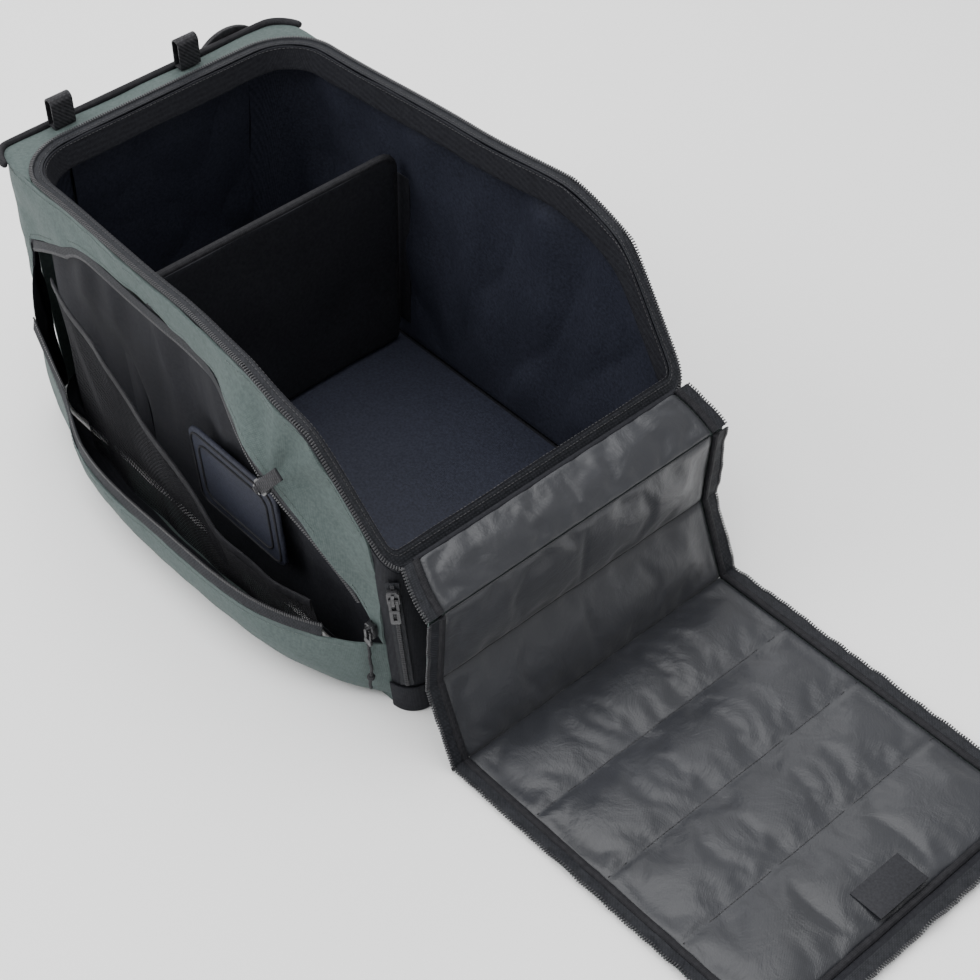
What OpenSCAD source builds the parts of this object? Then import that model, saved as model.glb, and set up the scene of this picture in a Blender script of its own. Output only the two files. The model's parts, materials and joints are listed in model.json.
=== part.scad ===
// Ski boot bag, lying open on its back panel.
// The body is a deep tub of padded cloth walls. The lid is a folding mat that hangs over the
// boot end and lies on the floor in front of it. The origin is the centre of the back pad's
// underside. +X runs to the boot end, where the lid hinges, -Y is the side with the open
// pocket, and +Z is up.

/* [Body] */
// Length over the two end walls
body_l = 584; // [480:4:720]
// Width of the base between the side walls
base_w = 330; // [280:5:400]
// Rim width at the boot end
rim_w_near = 358; // [330:2:420]
// Rim width at its widest, beside the boots
rim_w_wide = 382; // [340:2:440]
// Rim width halfway along
rim_w_mid = 360; // [340:2:430]
// Rim width where the far corners start
rim_w_far = 344; // [330:2:420]
// Height of the lid's hinge line over the boot end wall
hinge_h = 199; // [180:1:230]
// Corner radius of the boot end, seen from above
near_corner_r = 22; // [16:1:40]
// Length of the far corners along the bag
far_corner_l = 85; // [60:5:120]
// Depth of the far corners across the bag
far_corner_w = 65; // [40:5:90]
// How much tighter the outer corners at the far end are than the rim's corners
corner_fill = 40; // [0:5:50]
// How far the boot end wall swells past its corners
near_bulge = 6; // [0:1:14]

/* [Cloth] */
// Thickness of the outer cloth with its foam
skin_t = 2.5; // [1.5:0.1:4]
// Thickness of the quilted lining
lining_t = 3; // [2:0.2:6]
// Free space between two layers of cloth
layer_gap = 0.3; // [0.2:0.05:0.6]
// Width of the stiff collar inside the rim
collar_w = 28; // [16:1:40]
// Width of the zip tape that shows on the rim
zip_tape_w = 12; // [9:1:16]
// Width of the shelf behind the far rim
fascia_w = 26; // [16:1:36]

/* [Back] */
// Thickness of the back pads
pad_t = 8; // [6:1:16]
// Width of the spine pad
spine_pad_w = 92; // [60:2:110]
// Width of a shoulder strap
strap_w = 64; // [50:2:74]
// Length of a shoulder strap's padded part
strap_l = 320; // [240:10:360]
// Width of the harness webbing
webbing_w = 20; // [15:1:25]

/* [Lid] */
// Length of the first quilted channel, from the hinge to the first fold
first_channel_l = 50; // [45:1:70]
// Pitch of the other quilted channels
channel_l = 88; // [84:1:100]
// Width of the quilted mat
mat_w = 318; // [280:2:330]
// Thickness of the quilted mat
mat_t = 8; // [6:0.5:12]
// Width of the mat's edge binding
binding_w = 8; // [5:1:12]
// Width of the zip edge beside the binding
lid_zip_w = 13; // [8:1:18]
// Width of the zip edge past the mat's end
lid_end_w = 30; // [16:1:34]
// Thickness of the lid's outer cloth
lid_skin_t = 2; // [1:0.2:3]
// Corner radius of the mat
mat_corner_r = 40; // [20:2:60]

/* [Side pocket] */
// Height of the pocket's upper lip over the floor
lip_h = 280; // [240:2:290]
// Height at which the two lips meet at the boot end
lip_meet_h = 85; // [60:1:110]
// How far the open pocket's lower lip hangs out
pocket_gape = 66; // [30:1:80]
// Bulge of the closed pocket on the other side
closed_bulge = 22; // [5:1:35]

/* [Divider] */
// Distance from the bag's middle back to the divider
divider_back = 100; // [60:5:140]
// Height of the divider's top edge over the floor
divider_h = 250; // [200:5:270]
// Thickness of the divider
divider_t = 8; // [5:1:12]

/* [Zip pulls] */
// Length of a zip slider
slider_l = 16; // [12:1:20]
// Width of a zip slider
slider_w = 11; // [9:1:14]
// Length of a main zip pull
pull_l = 30; // [24:1:40]
// Length of the webbing pull on the pocket's upper lip
tab_l = 36; // [28:1:48]

/* [Carrying] */
// Width of a webbing loop at the far end
loop_w = 24; // [18:1:32]
// Height of a webbing loop over the far binding
loop_h = 32; // [22:1:42]
// Length of the grab handle between its ends
handle_l = 90; // [80:1:120]

/* [Hidden] */

green = "#5f6d68";
black = "#22242a";
navy = "#1b1d27";
satin = "#4b4e57";

// Lid: its hinge line, its folds at rest and its folds when closed
near_x = body_l / 2;
far_x = -body_l / 2;
hinge_x = near_x + 2.5;
first_slope = 33;
tuck = 94.4;
closed_angle = [128, 128, 163, 181.5];
// The third length leans just enough for the last one to lie on the floor
kick = asin((hinge_h - first_channel_l * sin(first_slope) - channel_l * sin(tuck) - lid_skin_t)
    / channel_l);
rest_angle = [-first_slope, -tuck, -kick, 0];
floor_channels = 4;
end_channel_l = channel_l - 4;
panel_l = [first_channel_l, channel_l, channel_l, (floor_channels - 1) * channel_l + end_channel_l];
function along(a) = [cos(a), 0, sin(a)];
function chain(angles, k) =
    k == 0 ? [hinge_x, 0, hinge_h] : chain(angles, k - 1) + panel_l[k - 1] * along(angles[k - 1]);
lid_gap = 1.5;
mat_half = mat_w / 2;
binding_half = mat_half + layer_gap + binding_w;
lid_half = binding_half + layer_gap + lid_zip_w;

// Rim: its height follows the underside of the closed lid
function under_lid(k, x) =
    chain(closed_angle, k)[2] + (x - chain(closed_angle, k)[0]) * tan(closed_angle[k])
    - (mat_t + lid_gap) / abs(cos(closed_angle[k]));
function rim_z(x) = min(under_lid(1, x), under_lid(2, x), under_lid(3, x));
function ease(t) = let (u = max(0, min(1, t))) u * u * (3 - 2 * u);
function mix(a, b, t) = a + (b - a) * t;
function between(x, x0, x1, a, b) = mix(a, b, ease((x - x0) / (x1 - x0)));
wide_x = body_l * 0.27;
mid_x = 0;
far_centre_x = far_x + far_corner_l;
near_centre_x = near_x - near_corner_r;
function rim_y(x) =
    x > wide_x ? between(x, wide_x, near_x, rim_w_wide, rim_w_near) / 2
    : x > mid_x ? between(x, mid_x, wide_x, rim_w_mid, rim_w_wide) / 2
    : between(x, mid_x, far_centre_x, rim_w_mid, rim_w_far) / 2;

// Left wall stations, numbered from the boot end: a long straight run, then the far corner.
// A depth is measured inwards from the outer face.
run_n = 20;
corner_n = 6;
side_n = run_n + corner_n;
function turn(i) = i <= run_n ? 0 : 90 * (i - run_n) / corner_n;
function run_x(i) = mix(near_centre_x, far_centre_x, min(i, run_n) / run_n);
function out(i) = [-sin(turn(i)), -cos(turn(i)), 0];
function fill(extra) = extra > 0 ? 0 : corner_fill;
function plan(i, half, depth, extra, k) =
    let (a = far_corner_l - extra - k, w = far_corner_w - k, ahead = k * max(0, min(1, i - run_n + 1)))
    [run_x(i) - ahead - (a - depth) * sin(turn(i)), -(half - w + (w - depth) * cos(turn(i)))];
function rim_plan(i, depth, extra) = plan(i, rim_y(run_x(i)), depth, extra, fill(extra));
function side_pt(i, z, depth, extra = 0) =
    let (r = rim_plan(i, depth, extra), b = plan(i, base_w / 2, depth, 0, fill(extra)), t = z / rim_z(r[0]))
    [mix(b[0], r[0], t), mix(b[1], r[1], t), z];
function top_z(i, depth, extra = 0) = rim_z(rim_plan(i, depth, extra)[0]);

// A closed solid between two sheets of points, each a list of rows
module between_sheets(a, b) {
    n = len(a);
    m = len(a[0]);
    side = cross(a[0][1] - a[0][0], a[1][0] - a[0][0]) * (b[0][0] - a[0][0]) > 0;
    function id(s, i, j) = (s * n + i) * m + j;
    function tri(p, q, r) = side ? [p, q, r] : [p, r, q];
    points = [for (s = [a, b]) for (row = s) for (p = row) p];
    skin = [for (i = [0:n - 2]) for (j = [0:m - 2]) each [
        tri(id(0, i, j), id(0, i, j + 1), id(0, i + 1, j)),
        tri(id(0, i + 1, j), id(0, i, j + 1), id(0, i + 1, j + 1)),
        tri(id(1, i, j), id(1, i + 1, j), id(1, i, j + 1)),
        tri(id(1, i + 1, j), id(1, i + 1, j + 1), id(1, i, j + 1))]];
    ends = [for (e = [[0, 1], [n - 1, -1]]) for (j = [0:m - 2])
        let (p = id(0, e[0], j), q = id(0, e[0], j + 1), r = id(1, e[0], j), s = id(1, e[0], j + 1))
        each e[1] > 0 ? [tri(p, r, q), tri(q, r, s)] : [tri(p, q, r), tri(q, s, r)]];
    edges = [for (e = [[0, 1], [m - 1, -1]]) for (i = [0:n - 2])
        let (p = id(0, i, e[0]), q = id(0, i + 1, e[0]), r = id(1, i, e[0]), s = id(1, i + 1, e[0]))
        each e[1] > 0 ? [tri(p, q, r), tri(q, s, r)] : [tri(p, r, q), tri(q, r, s)]];
    polyhedron(points, concat(skin, ends, edges), convexity = 8);
}

// A box given by its two corners
module block(low, high) {
    translate(low) cube(high - low);
}

// A plate with rounded corners, given by its two corners
module plate(low, high, r) {
    size = high - low;
    translate([low[0] + r, low[1] + r, low[2]]) linear_extrude(size[2])
        rounded(size[0] - 2 * r, size[1] - 2 * r, r);
}

// A rectangle with a round at each corner, its inner corners at the origin and at w, h
module rounded(w, h, r) {
    union() {
        translate([-r, 0]) square([w + 2 * r, h]);
        translate([0, -r]) square([w, h + 2 * r]);
        for (p = [[0, 0], [w, 0], [w, h], [0, h]]) translate(p) circle(r, $fn = 48);
    }
}

module both_sides() {
    children();
    mirror([0, 1, 0]) children();
}

// Back: pads that the bag rests on, the harness stowed beside them, and the panel above
back_gap = 1;
back_z = pad_t + layer_gap;
panel_t = 5;
floor_z = back_z + panel_t + layer_gap;
wall_foot = 1;
spine_back = 235;
spine_front = 140;
lumbar_l = 95;
yoke_back = 250;

// Outline of the base inside the walls, with its own radius for the far corners
module base_outline(far_r) {
    inset = skin_t + lining_t + 2 * layer_gap + back_gap;
    half = base_w / 2 - inset;
    near_r = near_corner_r;
    union() {
        translate([far_x + inset + far_r, -half]) square([body_l - 2 * inset - far_r - near_r, 2 * half]);
        translate([far_x + inset, -half + far_r]) square([far_r + 1, 2 * (half - far_r)]);
        translate([near_x - inset - near_r - 1, -half + near_r])
            square([near_r + 1, 2 * (half - near_r)]);
        for (s = [-1, 1]) {
            translate([far_x + inset + far_r, s * (half - far_r)]) circle(far_r, $fn = 96);
            translate([near_x - inset - near_r, s * (half - near_r)]) circle(near_r, $fn = 64);
        }
    }
}

module back_panel() {
    color(black) translate([0, 0, back_z]) linear_extrude(panel_t)
        base_outline(far_corner_l - corner_fill);
}

module back_pads() {
    lumbar_x = spine_front + 20;
    color(black) {
        plate([-spine_back, -spine_pad_w / 2, 0], [spine_front, spine_pad_w / 2, pad_t], 20);
        plate([lumbar_x, -base_w / 2 + 35, 0], [lumbar_x + lumbar_l, base_w / 2 - 35, pad_t], 24);
    }
}

strap_y = spine_pad_w / 2 + 8;
strap_t = pad_t - 1;

module shoulder_straps() {
    color(black) both_sides()
        plate([-yoke_back, strap_y, 0], [strap_l - yoke_back, strap_y + strap_w, strap_t], 22);
}

webbing_t = 1.6;
webbing_run = 34;
lock_l = 22;
lock_x = strap_l - yoke_back + webbing_run;

module strap_webbing() {
    y = strap_y + strap_w / 2;
    color(black) both_sides()
        block([strap_l - yoke_back + layer_gap, y - webbing_w / 2, 2],
            [lock_x - layer_gap, y + webbing_w / 2, 2 + webbing_t]);
}

module ladderlocks() {
    y = strap_y + strap_w / 2;
    half = webbing_w / 2 + 4;
    bar = 3;
    color(black) both_sides() difference() {
        plate([lock_x, y - half, 1], [lock_x + lock_l, y + half, 5], 3);
        for (k = [0:1]) translate([lock_x + bar + k * (lock_l - bar) / 2, y - webbing_w / 2, 0])
            cube([(lock_l - bar) / 2 - bar, webbing_w, 6]);
    }
}

module floor_lining() {
    color(navy) translate([0, 0, floor_z]) linear_extrude(1.5) base_outline(far_corner_l);
}

// End walls
rim_drop = 3;
near_n = 12;
near_arc_n = 4;
near_total = near_n + 2 * near_arc_n;
function near_turn(j) =
    j < near_arc_n ? -90 + 90 * j / near_arc_n
    : j > near_arc_n + near_n ? 90 * (j - near_arc_n - near_n) / near_arc_n : 0;
function near_plan(j, half, depth) =
    let (w = half - near_corner_r, a = near_turn(j),
         t = max(0, min(1, (j - near_arc_n) / near_n)))
    [near_centre_x + (near_corner_r - depth) * cos(a),
     mix(-w, w, t) + (near_corner_r - depth) * sin(a)];
function near_pt(j, v, depth, bulge) =
    let (r = near_plan(j, rim_w_near / 2, depth), b = near_plan(j, base_w / 2, depth),
         t = max(0, min(1, (j - near_arc_n) / near_n)), top = rim_z(r[0]) - rim_drop)
    [mix(b[0], r[0], v) + bulge * 16 * v * (1 - v) * t * (1 - t), mix(b[1], r[1], v),
     mix(wall_foot, top, v)];
wall_n = 6;

module near_wall(d0, d1, foot) {
    rows = [for (d = [d0, d1]) [for (j = [0:near_total]) [for (k = [0:wall_n])
        near_pt(j, mix(foot, 1, k / wall_n), d, near_bulge)]]];
    between_sheets(rows[0], rows[1]);
}

lining_d = skin_t + layer_gap;
lining_foot = 0.09;

module near_end_wall() {
    color(black) near_wall(0, skin_t, 0);
}

module near_end_lining() {
    color(navy) near_wall(lining_d, lining_d + lining_t, lining_foot);
}

far_n = 8;
function far_half(z, extra) =
    mix(base_w / 2, rim_y(far_centre_x), z / rim_z(far_x)) - far_corner_w + fill(extra);
function far_pt(j, z, depth, extra) =
    let (w = far_half(z, extra), t = z / rim_z(far_x))
    [far_x + depth + extra * t, mix(-w, w, j / far_n), z];

module far_wall(d0, d1, foot, extra, drop) {
    top = rim_z(far_x) - drop;
    rows = [for (d = [d0, d1]) [for (j = [0:far_n]) [for (k = [0:wall_n])
        far_pt(j, mix(foot, top, k / wall_n), d, extra)]]];
    between_sheets(rows[0], rows[1]);
}

lining_foot_z = floor_z + 4;
shelf_drop = 6;
shelf_sink = 0.6;

module far_end_wall() {
    color(green) far_wall(0, skin_t, wall_foot, 0, shelf_drop + 2);
}

module far_end_lining() {
    color(navy) far_wall(lining_d, lining_d + lining_t, lining_foot_z, fascia_w, rim_drop);
}

// Side walls: lining, the strip above the pocket, and the pocket's own panel
seam_gap = 0.35;

// Cuts the straight run's first station clear of the boot end wall
function start_x(i, p) = i == 0 ? [p[0] - seam_gap, p[1], p[2]] : p;
function end_y(i, p) = i == side_n ? [p[0], p[1] - seam_gap, p[2]] : p;
function trim(i, p) = start_x(i, end_y(i, p));

module side_lining() {
    rows = [for (d = [lining_d, lining_d + lining_t]) [for (i = [0:side_n]) [for (k = [0:wall_n])
        let (z = mix(lining_foot_z, top_z(i, d, fascia_w) - rim_drop, k / wall_n))
        trim(i, side_pt(i, z, d, fascia_w))]]];
    color(navy) between_sheets(rows[0], rows[1]);
}

module side_lining_left() {
    side_lining();
}

module side_lining_right() {
    mirror([0, 1, 0]) side_lining();
}

// The mouth runs from its meeting point at the boot end to the start of the far corner, and its
// upper lip comes down over the last few steps
mouth_end = run_n + 1;
mouth_fall = 4;
mouth_curve = 2.2;
mouth_dip = 4.6;
mouth_level_x = -80;
far_meet_h = 190;
function mouth_s(i) = min(1, i / mouth_end);
function upper_lip(i) =
    i >= mouth_end - mouth_fall
    ? mix(lip_h, far_meet_h, pow(min(1, (i - mouth_end) / mouth_fall + 1), mouth_curve))
    : mix(lip_h, lip_meet_h,
        pow(max(0, (run_x(i) - mouth_level_x) / (near_centre_x - mouth_level_x)), mouth_dip));
// How far the upper lip stands out beside the boots, and where
lip_stand = 24;
lip_stand_x = 165;
lip_stand_half = 115;
function lip_out(i) =
    let (u = (run_x(i) - lip_stand_x) / lip_stand_half) i > run_n ? 0
    : lip_stand * pow(max(0, 1 - u * u), 2);
lip_slope = 30;
lip_rise = 0.82;
function lower_lip(i) =
    lip_meet_h - lip_slope * mouth_s(i)
    + (far_meet_h - lip_meet_h + lip_slope) * pow(max(0, (mouth_s(i) - lip_rise) / (1 - lip_rise)), 2);
function gape(i) = 1 - pow(abs(2 * mouth_s(i) - 1), 3.5);

strip_n = 5;
module side_strip(lips, stands) {
    rows = [for (d = [0, skin_t]) [for (i = [0:side_n]) [for (k = [0:strip_n])
        let (shelf = i > run_n ? (shelf_drop - rim_drop + 2) * (i - run_n) / corner_n : 0,
             z = mix(lips[i] + layer_gap * 2, top_z(i, d) - rim_drop - shelf, k / strip_n))
        trim(i, side_pt(i, z, d) + stands[i] * pow(1 - k / strip_n, 1.5) * out(i))]]];
    color(green) between_sheets(rows[0], rows[1]);
}

upper_lips = [for (i = [0:side_n]) upper_lip(i)];
flat_lips = [for (i = [0:side_n]) 0];

module side_strip_left() {
    side_strip(upper_lips, [for (i = [0:side_n]) lip_out(i)]);
}

module side_strip_right() {
    mirror([0, 1, 0]) side_strip(upper_lips, flat_lips);
}

// A panel's section is one curve from its foot to its lip, in distance out from the base and
// height; the panel is as thick as the skin all along it
function bend(p, q, r, t) = mix(mix(p, q, t), mix(q, r, t), t);
function bend_dir(p, q, r, t) = mix(q - p, r - q, t);
function panel_pt(i, t, depth, o, top, knee) =
    let (lean = norm([for (k = [0, 1]) side_pt(i, top, 0)[k] - side_pt(i, wall_foot, 0)[k]]),
         p = [0, wall_foot], r = [lean + o, top],
         q = mix([lean / 2, top / 2], [lean + o * 1.12, knee], min(1, o / 20)),
         c = bend(p, q, r, t), d = bend_dir(p, q, r, t), u = d / norm(d),
         s = c + depth * [-u[1], u[0]],
         wall = lean * (s[1] - wall_foot) / (top - wall_foot))
    side_pt(i, s[1], 0) + (s[0] - wall) * out(i);

panel_n = 7;
module pocket_panel(reach, tops, knee) {
    rows = [for (d = [0, skin_t]) [for (i = [0:side_n]) [for (k = [0:panel_n])
        trim(i, panel_pt(i, k / panel_n, d, reach[i], tops[i] - layer_gap, knee))]]];
    color(green) between_sheets(rows[0], rows[1]);
}

open_reach = [for (i = [0:side_n]) pocket_gape * gape(i)];
open_tops = [for (i = [0:side_n]) lower_lip(i)];
open_knee = 2;

module pocket_panel_left() {
    pocket_panel(open_reach, open_tops, open_knee);
}

// The closed pocket swells in the middle of its height
module pocket_panel_right() {
    rows = [for (d = [0, skin_t]) [for (i = [0:side_n]) [for (k = [0:panel_n])
        let (t = k / panel_n, z = mix(wall_foot, upper_lips[i] - layer_gap, t), p = side_pt(i, z, d),
             swell = closed_bulge * gape(i) * 4 * t * (1 - t))
        trim(i, p + swell * out(i))]]];
    color(green) mirror([0, 1, 0]) between_sheets(rows[0], rows[1]);
}

// Pocket zips
tape_t = 1.2;
pocket_tape_w = 13;
tape_d = 0.6;
zip_first = 1;

module pocket_zip_upper_left() {
    rows = [for (d = [tape_d, tape_d + tape_t]) [for (i = [zip_first:mouth_end - 1]) [for (k = [0, 1])
        side_pt(i, upper_lip(i) - layer_gap - pocket_tape_w * k, d) + lip_out(i) * out(i)]]];
    color(black) between_sheets(rows[0], rows[1]);
}

lower_first = 2;
module pocket_zip_lower_left() {
    rows = [for (d = [0, tape_t]) [for (i = [lower_first:mouth_end - 1]) [for (k = [0, 1])
        let (lip = panel_pt(i, 1, d, open_reach[i], open_tops[i] - layer_gap, open_knee),
             top = min(open_tops[i] + pocket_tape_w, upper_lip(i) - layer_gap - pocket_tape_w - 4))
        k == 0 ? [lip[0], lip[1], open_tops[i] + layer_gap]
        : lip - 3 * out(i) + [0, 0, max(2, top - lip[2])]]]];
    color(black) between_sheets(rows[0], rows[1]);
}

module pocket_zip_right() {
    rows = [for (d = [-0.8, -0.8 - tape_t]) [for (i = [zip_first:mouth_end])
        [for (k = [-1, 1]) side_pt(i, upper_lip(i) + k * pocket_tape_w / 2, d)
            + out(i) * closed_bulge * gape(i) * (k < 0 ? 0.16 : 0)]]];
    color(black) mirror([0, 1, 0]) between_sheets(rows[0], rows[1]);
}

// Inside the open pocket: a mesh front that stands halfway out, and a slim sleeve on the wall
mesh_first = 3;
mesh_last = run_n - 1;
mesh_edge = [[-260, 250], [-100, 215], [0, 150], [70, 100], [150, 96], [250, 110]];
mesh_t = 1;
mesh_foot = 8;

module mesh_pocket_left() {
    rows = [for (d = [0, mesh_t]) [for (i = [mesh_first:mesh_last]) [for (k = [0:2])
        let (x = run_x(i), z = mix(mesh_foot, lookup(x, mesh_edge), k / 2),
             stand = open_reach[i] * mix(0.34, 0.5, k / 2))
        side_pt(i, z, d) + stand * out(i)]]];
    color(black) between_sheets(rows[0], rows[1]);
}

sleeve_x = [10, 140];
sleeve_z = [80, 180];
sleeve_t = 5;
module sleeve_pocket_left() {
    lean = atan((rim_y(sleeve_x[0]) - base_w / 2) / rim_z(sleeve_x[0]));
    y = -(base_w / 2 + tan(lean) * sleeve_z[0] + 5);
    color(navy) translate([sleeve_x[0], y, sleeve_z[0]]) rotate([90 + lean, 0, 0])
        plate([0, 0, 0], [sleeve_x[1] - sleeve_x[0], sleeve_z[1] - sleeve_z[0], sleeve_t], 14);
}

// Rim: zip tape with its coil, collar, and the shelf and binding at the far end.
// A ring station is a point on the rim seen from above, all the way round.
function zip_ring(depth) = concat(
    [for (j = [0:near_total]) near_plan(j, rim_w_near / 2, depth)],
    [for (i = [1:side_n]) mirror_y(rim_plan(i, depth, fascia_w))],
    [for (i = [side_n:-1:1]) rim_plan(i, depth, fascia_w)]);
function mirror_y(p) = [p[0], -p[1]];

// A ribbon that follows a closed ring: four corners per station, each a depth and a rise
module ring_ribbon(corners) {
    rings = [for (c = corners) [for (p = zip_ring(c[0])) [p[0], p[1], rim_z(p[0]) + c[1]]]];
    n = len(rings[0]);
    m = len(corners);
    points = [for (r = rings) each r];
    faces = [for (c = [0:m - 1]) for (i = [0:n - 1])
        let (p = c * n + i, q = c * n + (i + 1) % n, r = ((c + 1) % m) * n + i,
             s = ((c + 1) % m) * n + (i + 1) % n)
        each [[p, q, r], [q, s, r]]];
    polyhedron(points, faces, convexity = 10);
}

tape_top = -0.6;
coil_w = 3;
module rim_zip_tape() {
    low = tape_top - 1.6;
    coil = tape_top + 1.4;
    color(black) ring_ribbon([[0.2, low], [zip_tape_w, low], [zip_tape_w, tape_top],
        [coil_w + 1.2, tape_top], [coil_w + 0.4, coil], [1, coil], [0.2, tape_top]]);
}

collar_lean = 12;
near_slack = 4;
collar_t = 1.5;
module collar_band() {
    d = zip_tape_w + layer_gap;
    fall = sqrt(collar_w * collar_w - collar_lean * collar_lean);
    foot = d + collar_lean - near_slack;
    top = tape_top - 1.8;
    color(black) ring_ribbon([[d, top], [foot - collar_t, -fall], [foot, -fall], [d + collar_t, top]]);
}

function shelf_ring(depth, extra) = concat(
    [for (i = [run_n + 1:side_n]) rim_plan(i, depth, extra)],
    [for (i = [side_n:-1:run_n + 1]) mirror_y(rim_plan(i, depth, extra))]);

module far_fascia() {
    outer = shelf_ring(0.4, 0);
    inner = shelf_ring(-layer_gap, fascia_w);
    n = len(outer);
    t = 2;
    top = [for (k = [0:n - 1]) let (o = outer[k], p = inner[k], drop = shelf_fall(k, n))
        [[o[0], o[1], rim_z(o[0]) - drop], [p[0], p[1], rim_z(p[0]) - shelf_sink]]];
    low = [for (row = top) [for (p = row) p - [0, 0, t]]];
    color(green) between_sheets(top, low);
}
function shelf_fall(k, n) = mix(shelf_sink, shelf_drop, min(1, min(k, n - 1 - k) / (corner_n - 1)));

binding_r = 3.2;
module far_binding() {
    ring = shelf_ring(-binding_r - layer_gap, 0);
    n = len(ring);
    sides = 8;
    points = [for (k = [0:n - 1])
        let (p = ring[k], a = ring[max(0, k - 1)], b = ring[min(n - 1, k + 1)], d = (b - a) / norm(b - a),
             z = rim_z(p[0]) - shelf_fall(k, n))
        for (s = [0:sides - 1]) let (w = 360 * s / sides)
        [p[0] + binding_r * cos(w) * d[1], p[1] - binding_r * cos(w) * d[0], z + binding_r * sin(w)]];
    sleeve = [for (k = [0:n - 2]) for (s = [0:sides - 1])
        let (p = k * sides + s, q = k * sides + (s + 1) % sides, r = p + sides, t = q + sides)
        each [[p, q, r], [q, t, r]]];
    caps = [for (s = [1:sides - 2]) each [[0, s + 1, s],
        [(n - 1) * sides, (n - 1) * sides + s, (n - 1) * sides + s + 1]]];
    color(black) polyhedron(points, concat(sleeve, caps), convexity = 6);
}

// Boot end corners: the closed zip down each edge, and a cap over each bottom corner
edge_turn = 45;
function edge_point(half, depth) =
    [near_centre_x + (near_corner_r - depth) * cos(edge_turn),
     -(half - near_corner_r + (near_corner_r - depth) * sin(edge_turn))];
edge_low = edge_point(base_w / 2, 0);
edge_high = edge_point(rim_w_near / 2, 0);
edge_top_z = rim_z(edge_high[0]) - rim_drop;
edge_lean = atan((edge_low[1] - edge_high[1]) / (edge_top_z - wall_foot));

// Local frame on the edge: X across the zip, Y out of the corner, Z up along the edge
module on_edge(up) {
    translate([edge_low[0], edge_low[1], wall_foot]) rotate([edge_lean, 0, 0])
        rotate([0, 0, -edge_turn - 90]) translate([0, 0, up]) children();
}

edge_tape_w = 12;
edge_coil_w = 3;
edge_coil_t = 1.4;
edge_off = 0.7;
cap_h = 34;
edge_start = cap_h + 4;
edge_end = edge_top_z - 14;

module edge_zip() {
    on_edge(0) union() {
        block([-edge_tape_w / 2, edge_off, edge_start], [edge_tape_w / 2, edge_off + tape_t, edge_end]);
        block([-edge_coil_w / 2, edge_off, edge_start],
            [edge_coil_w / 2, edge_off + tape_t + edge_coil_t, edge_end]);
    }
}

module corner_zips() {
    color(black) both_sides() edge_zip();
}

module corner_cap() {
    r = near_corner_r;
    lap = 30;
    t = 1.8;
    off = 0.6;
    function cap_plan(j, d, z) =
        let (half = mix(base_w / 2, rim_w_near / 2, z / rim_z(near_x)),
             a = min(90, max(0, (j - 1) * 90 / 6)))
        [near_centre_x + (r + d) * cos(a), -(half - r + (r + d) * sin(a)) + (j == 0 ? lap : 0)];
    rows = [for (d = [off + t, off]) [for (j = [0:7]) [for (z = [0.2, cap_h / 2, cap_h])
        let (p = cap_plan(j, d + (j == 0 ? near_bulge * 0.5 : 0), z)) [p[0], p[1], z]]]];
    between_sheets(rows[0], rows[1]);
}

module base_corners() {
    color(black) both_sides() corner_cap();
}

// Far end: two webbing loops that stand on the binding, and the grab handle
loop_y = [-95, 52];
loop_t = 2;
loop_gap = 8;
loop_x = far_x + 8;
loop_foot = rim_z(far_x) - shelf_drop / 2 + layer_gap;

module webbing_loop() {
    span = loop_gap + 2 * loop_t;
    straight = loop_h - span / 2;
    rotate([90, 0, 0]) linear_extrude(loop_w, center = true) difference() {
        union() {
            translate([-span / 2, 0]) square([span, straight]);
            translate([0, straight]) circle(span / 2, $fn = 40);
        }
        translate([-loop_gap / 2, loop_t]) square([loop_gap, straight - loop_t]);
        translate([0, straight]) circle(loop_gap / 2, $fn = 40);
    }
}

module webbing_loops() {
    color(black) {
        for (y = loop_y) translate([loop_x, y, loop_foot]) webbing_loop();
        for (s = [-1, 1]) block([handle_x + layer_gap, handle_y + s * tab_y - tab_half, handle_z - 16],
            [far_x - layer_gap, handle_y + s * tab_y + tab_half, handle_z + 6]);
    }
}

handle_y = 112;
handle_t = 5;
handle_rise = 34;
handle_drop = 28;
handle_x = far_x - 2 * binding_r - 1;
handle_z = loop_foot - handle_drop;
tab_half = 6;
tab_y = handle_l / 2 - tab_half;

// The handle's outline across the bag, an arch with flat feet
module grab_handle() {
    half = handle_l / 2;
    r = (half * half + handle_rise * handle_rise) / (2 * handle_rise);
    color(black) translate([handle_x, handle_y, handle_z]) rotate([90, 0, -90])
        linear_extrude(handle_t) difference() {
            intersection() {
                translate([0, handle_rise - r]) circle(r, $fn = 96);
                translate([-half, 0]) square([handle_l, handle_rise + 1]);
            }
            intersection() {
                translate([0, handle_rise - r - 9]) circle(r, $fn = 96);
                translate([-half + 8, -1]) square([handle_l - 16, handle_rise]);
            }
        }
}

// Divider between the boot bay and the helmet bay, hinged at its foot
divider_x = -divider_back;
divider_foot = floor_z + 4;
divider_side = 9;

module divider() {
    half = base_w / 2 - lining_d - lining_t - divider_side;
    top = half + 6;
    hinge_r = divider_t / 2;
    color(black) translate([divider_x, 0, 0]) union() {
        rotate([90, 0, 90]) linear_extrude(divider_t, center = true) polygon([
            [-half, divider_foot + hinge_r], [half, divider_foot + hinge_r],
            [top, divider_h - 12], [top - 12, divider_h], [-top + 12, divider_h],
            [-top, divider_h - 12]]);
        translate([0, 0, divider_foot + hinge_r]) rotate([90, 0, 0])
            cylinder(2 * half, hinge_r, hinge_r, center = true, $fn = 48);
    }
}

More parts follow.
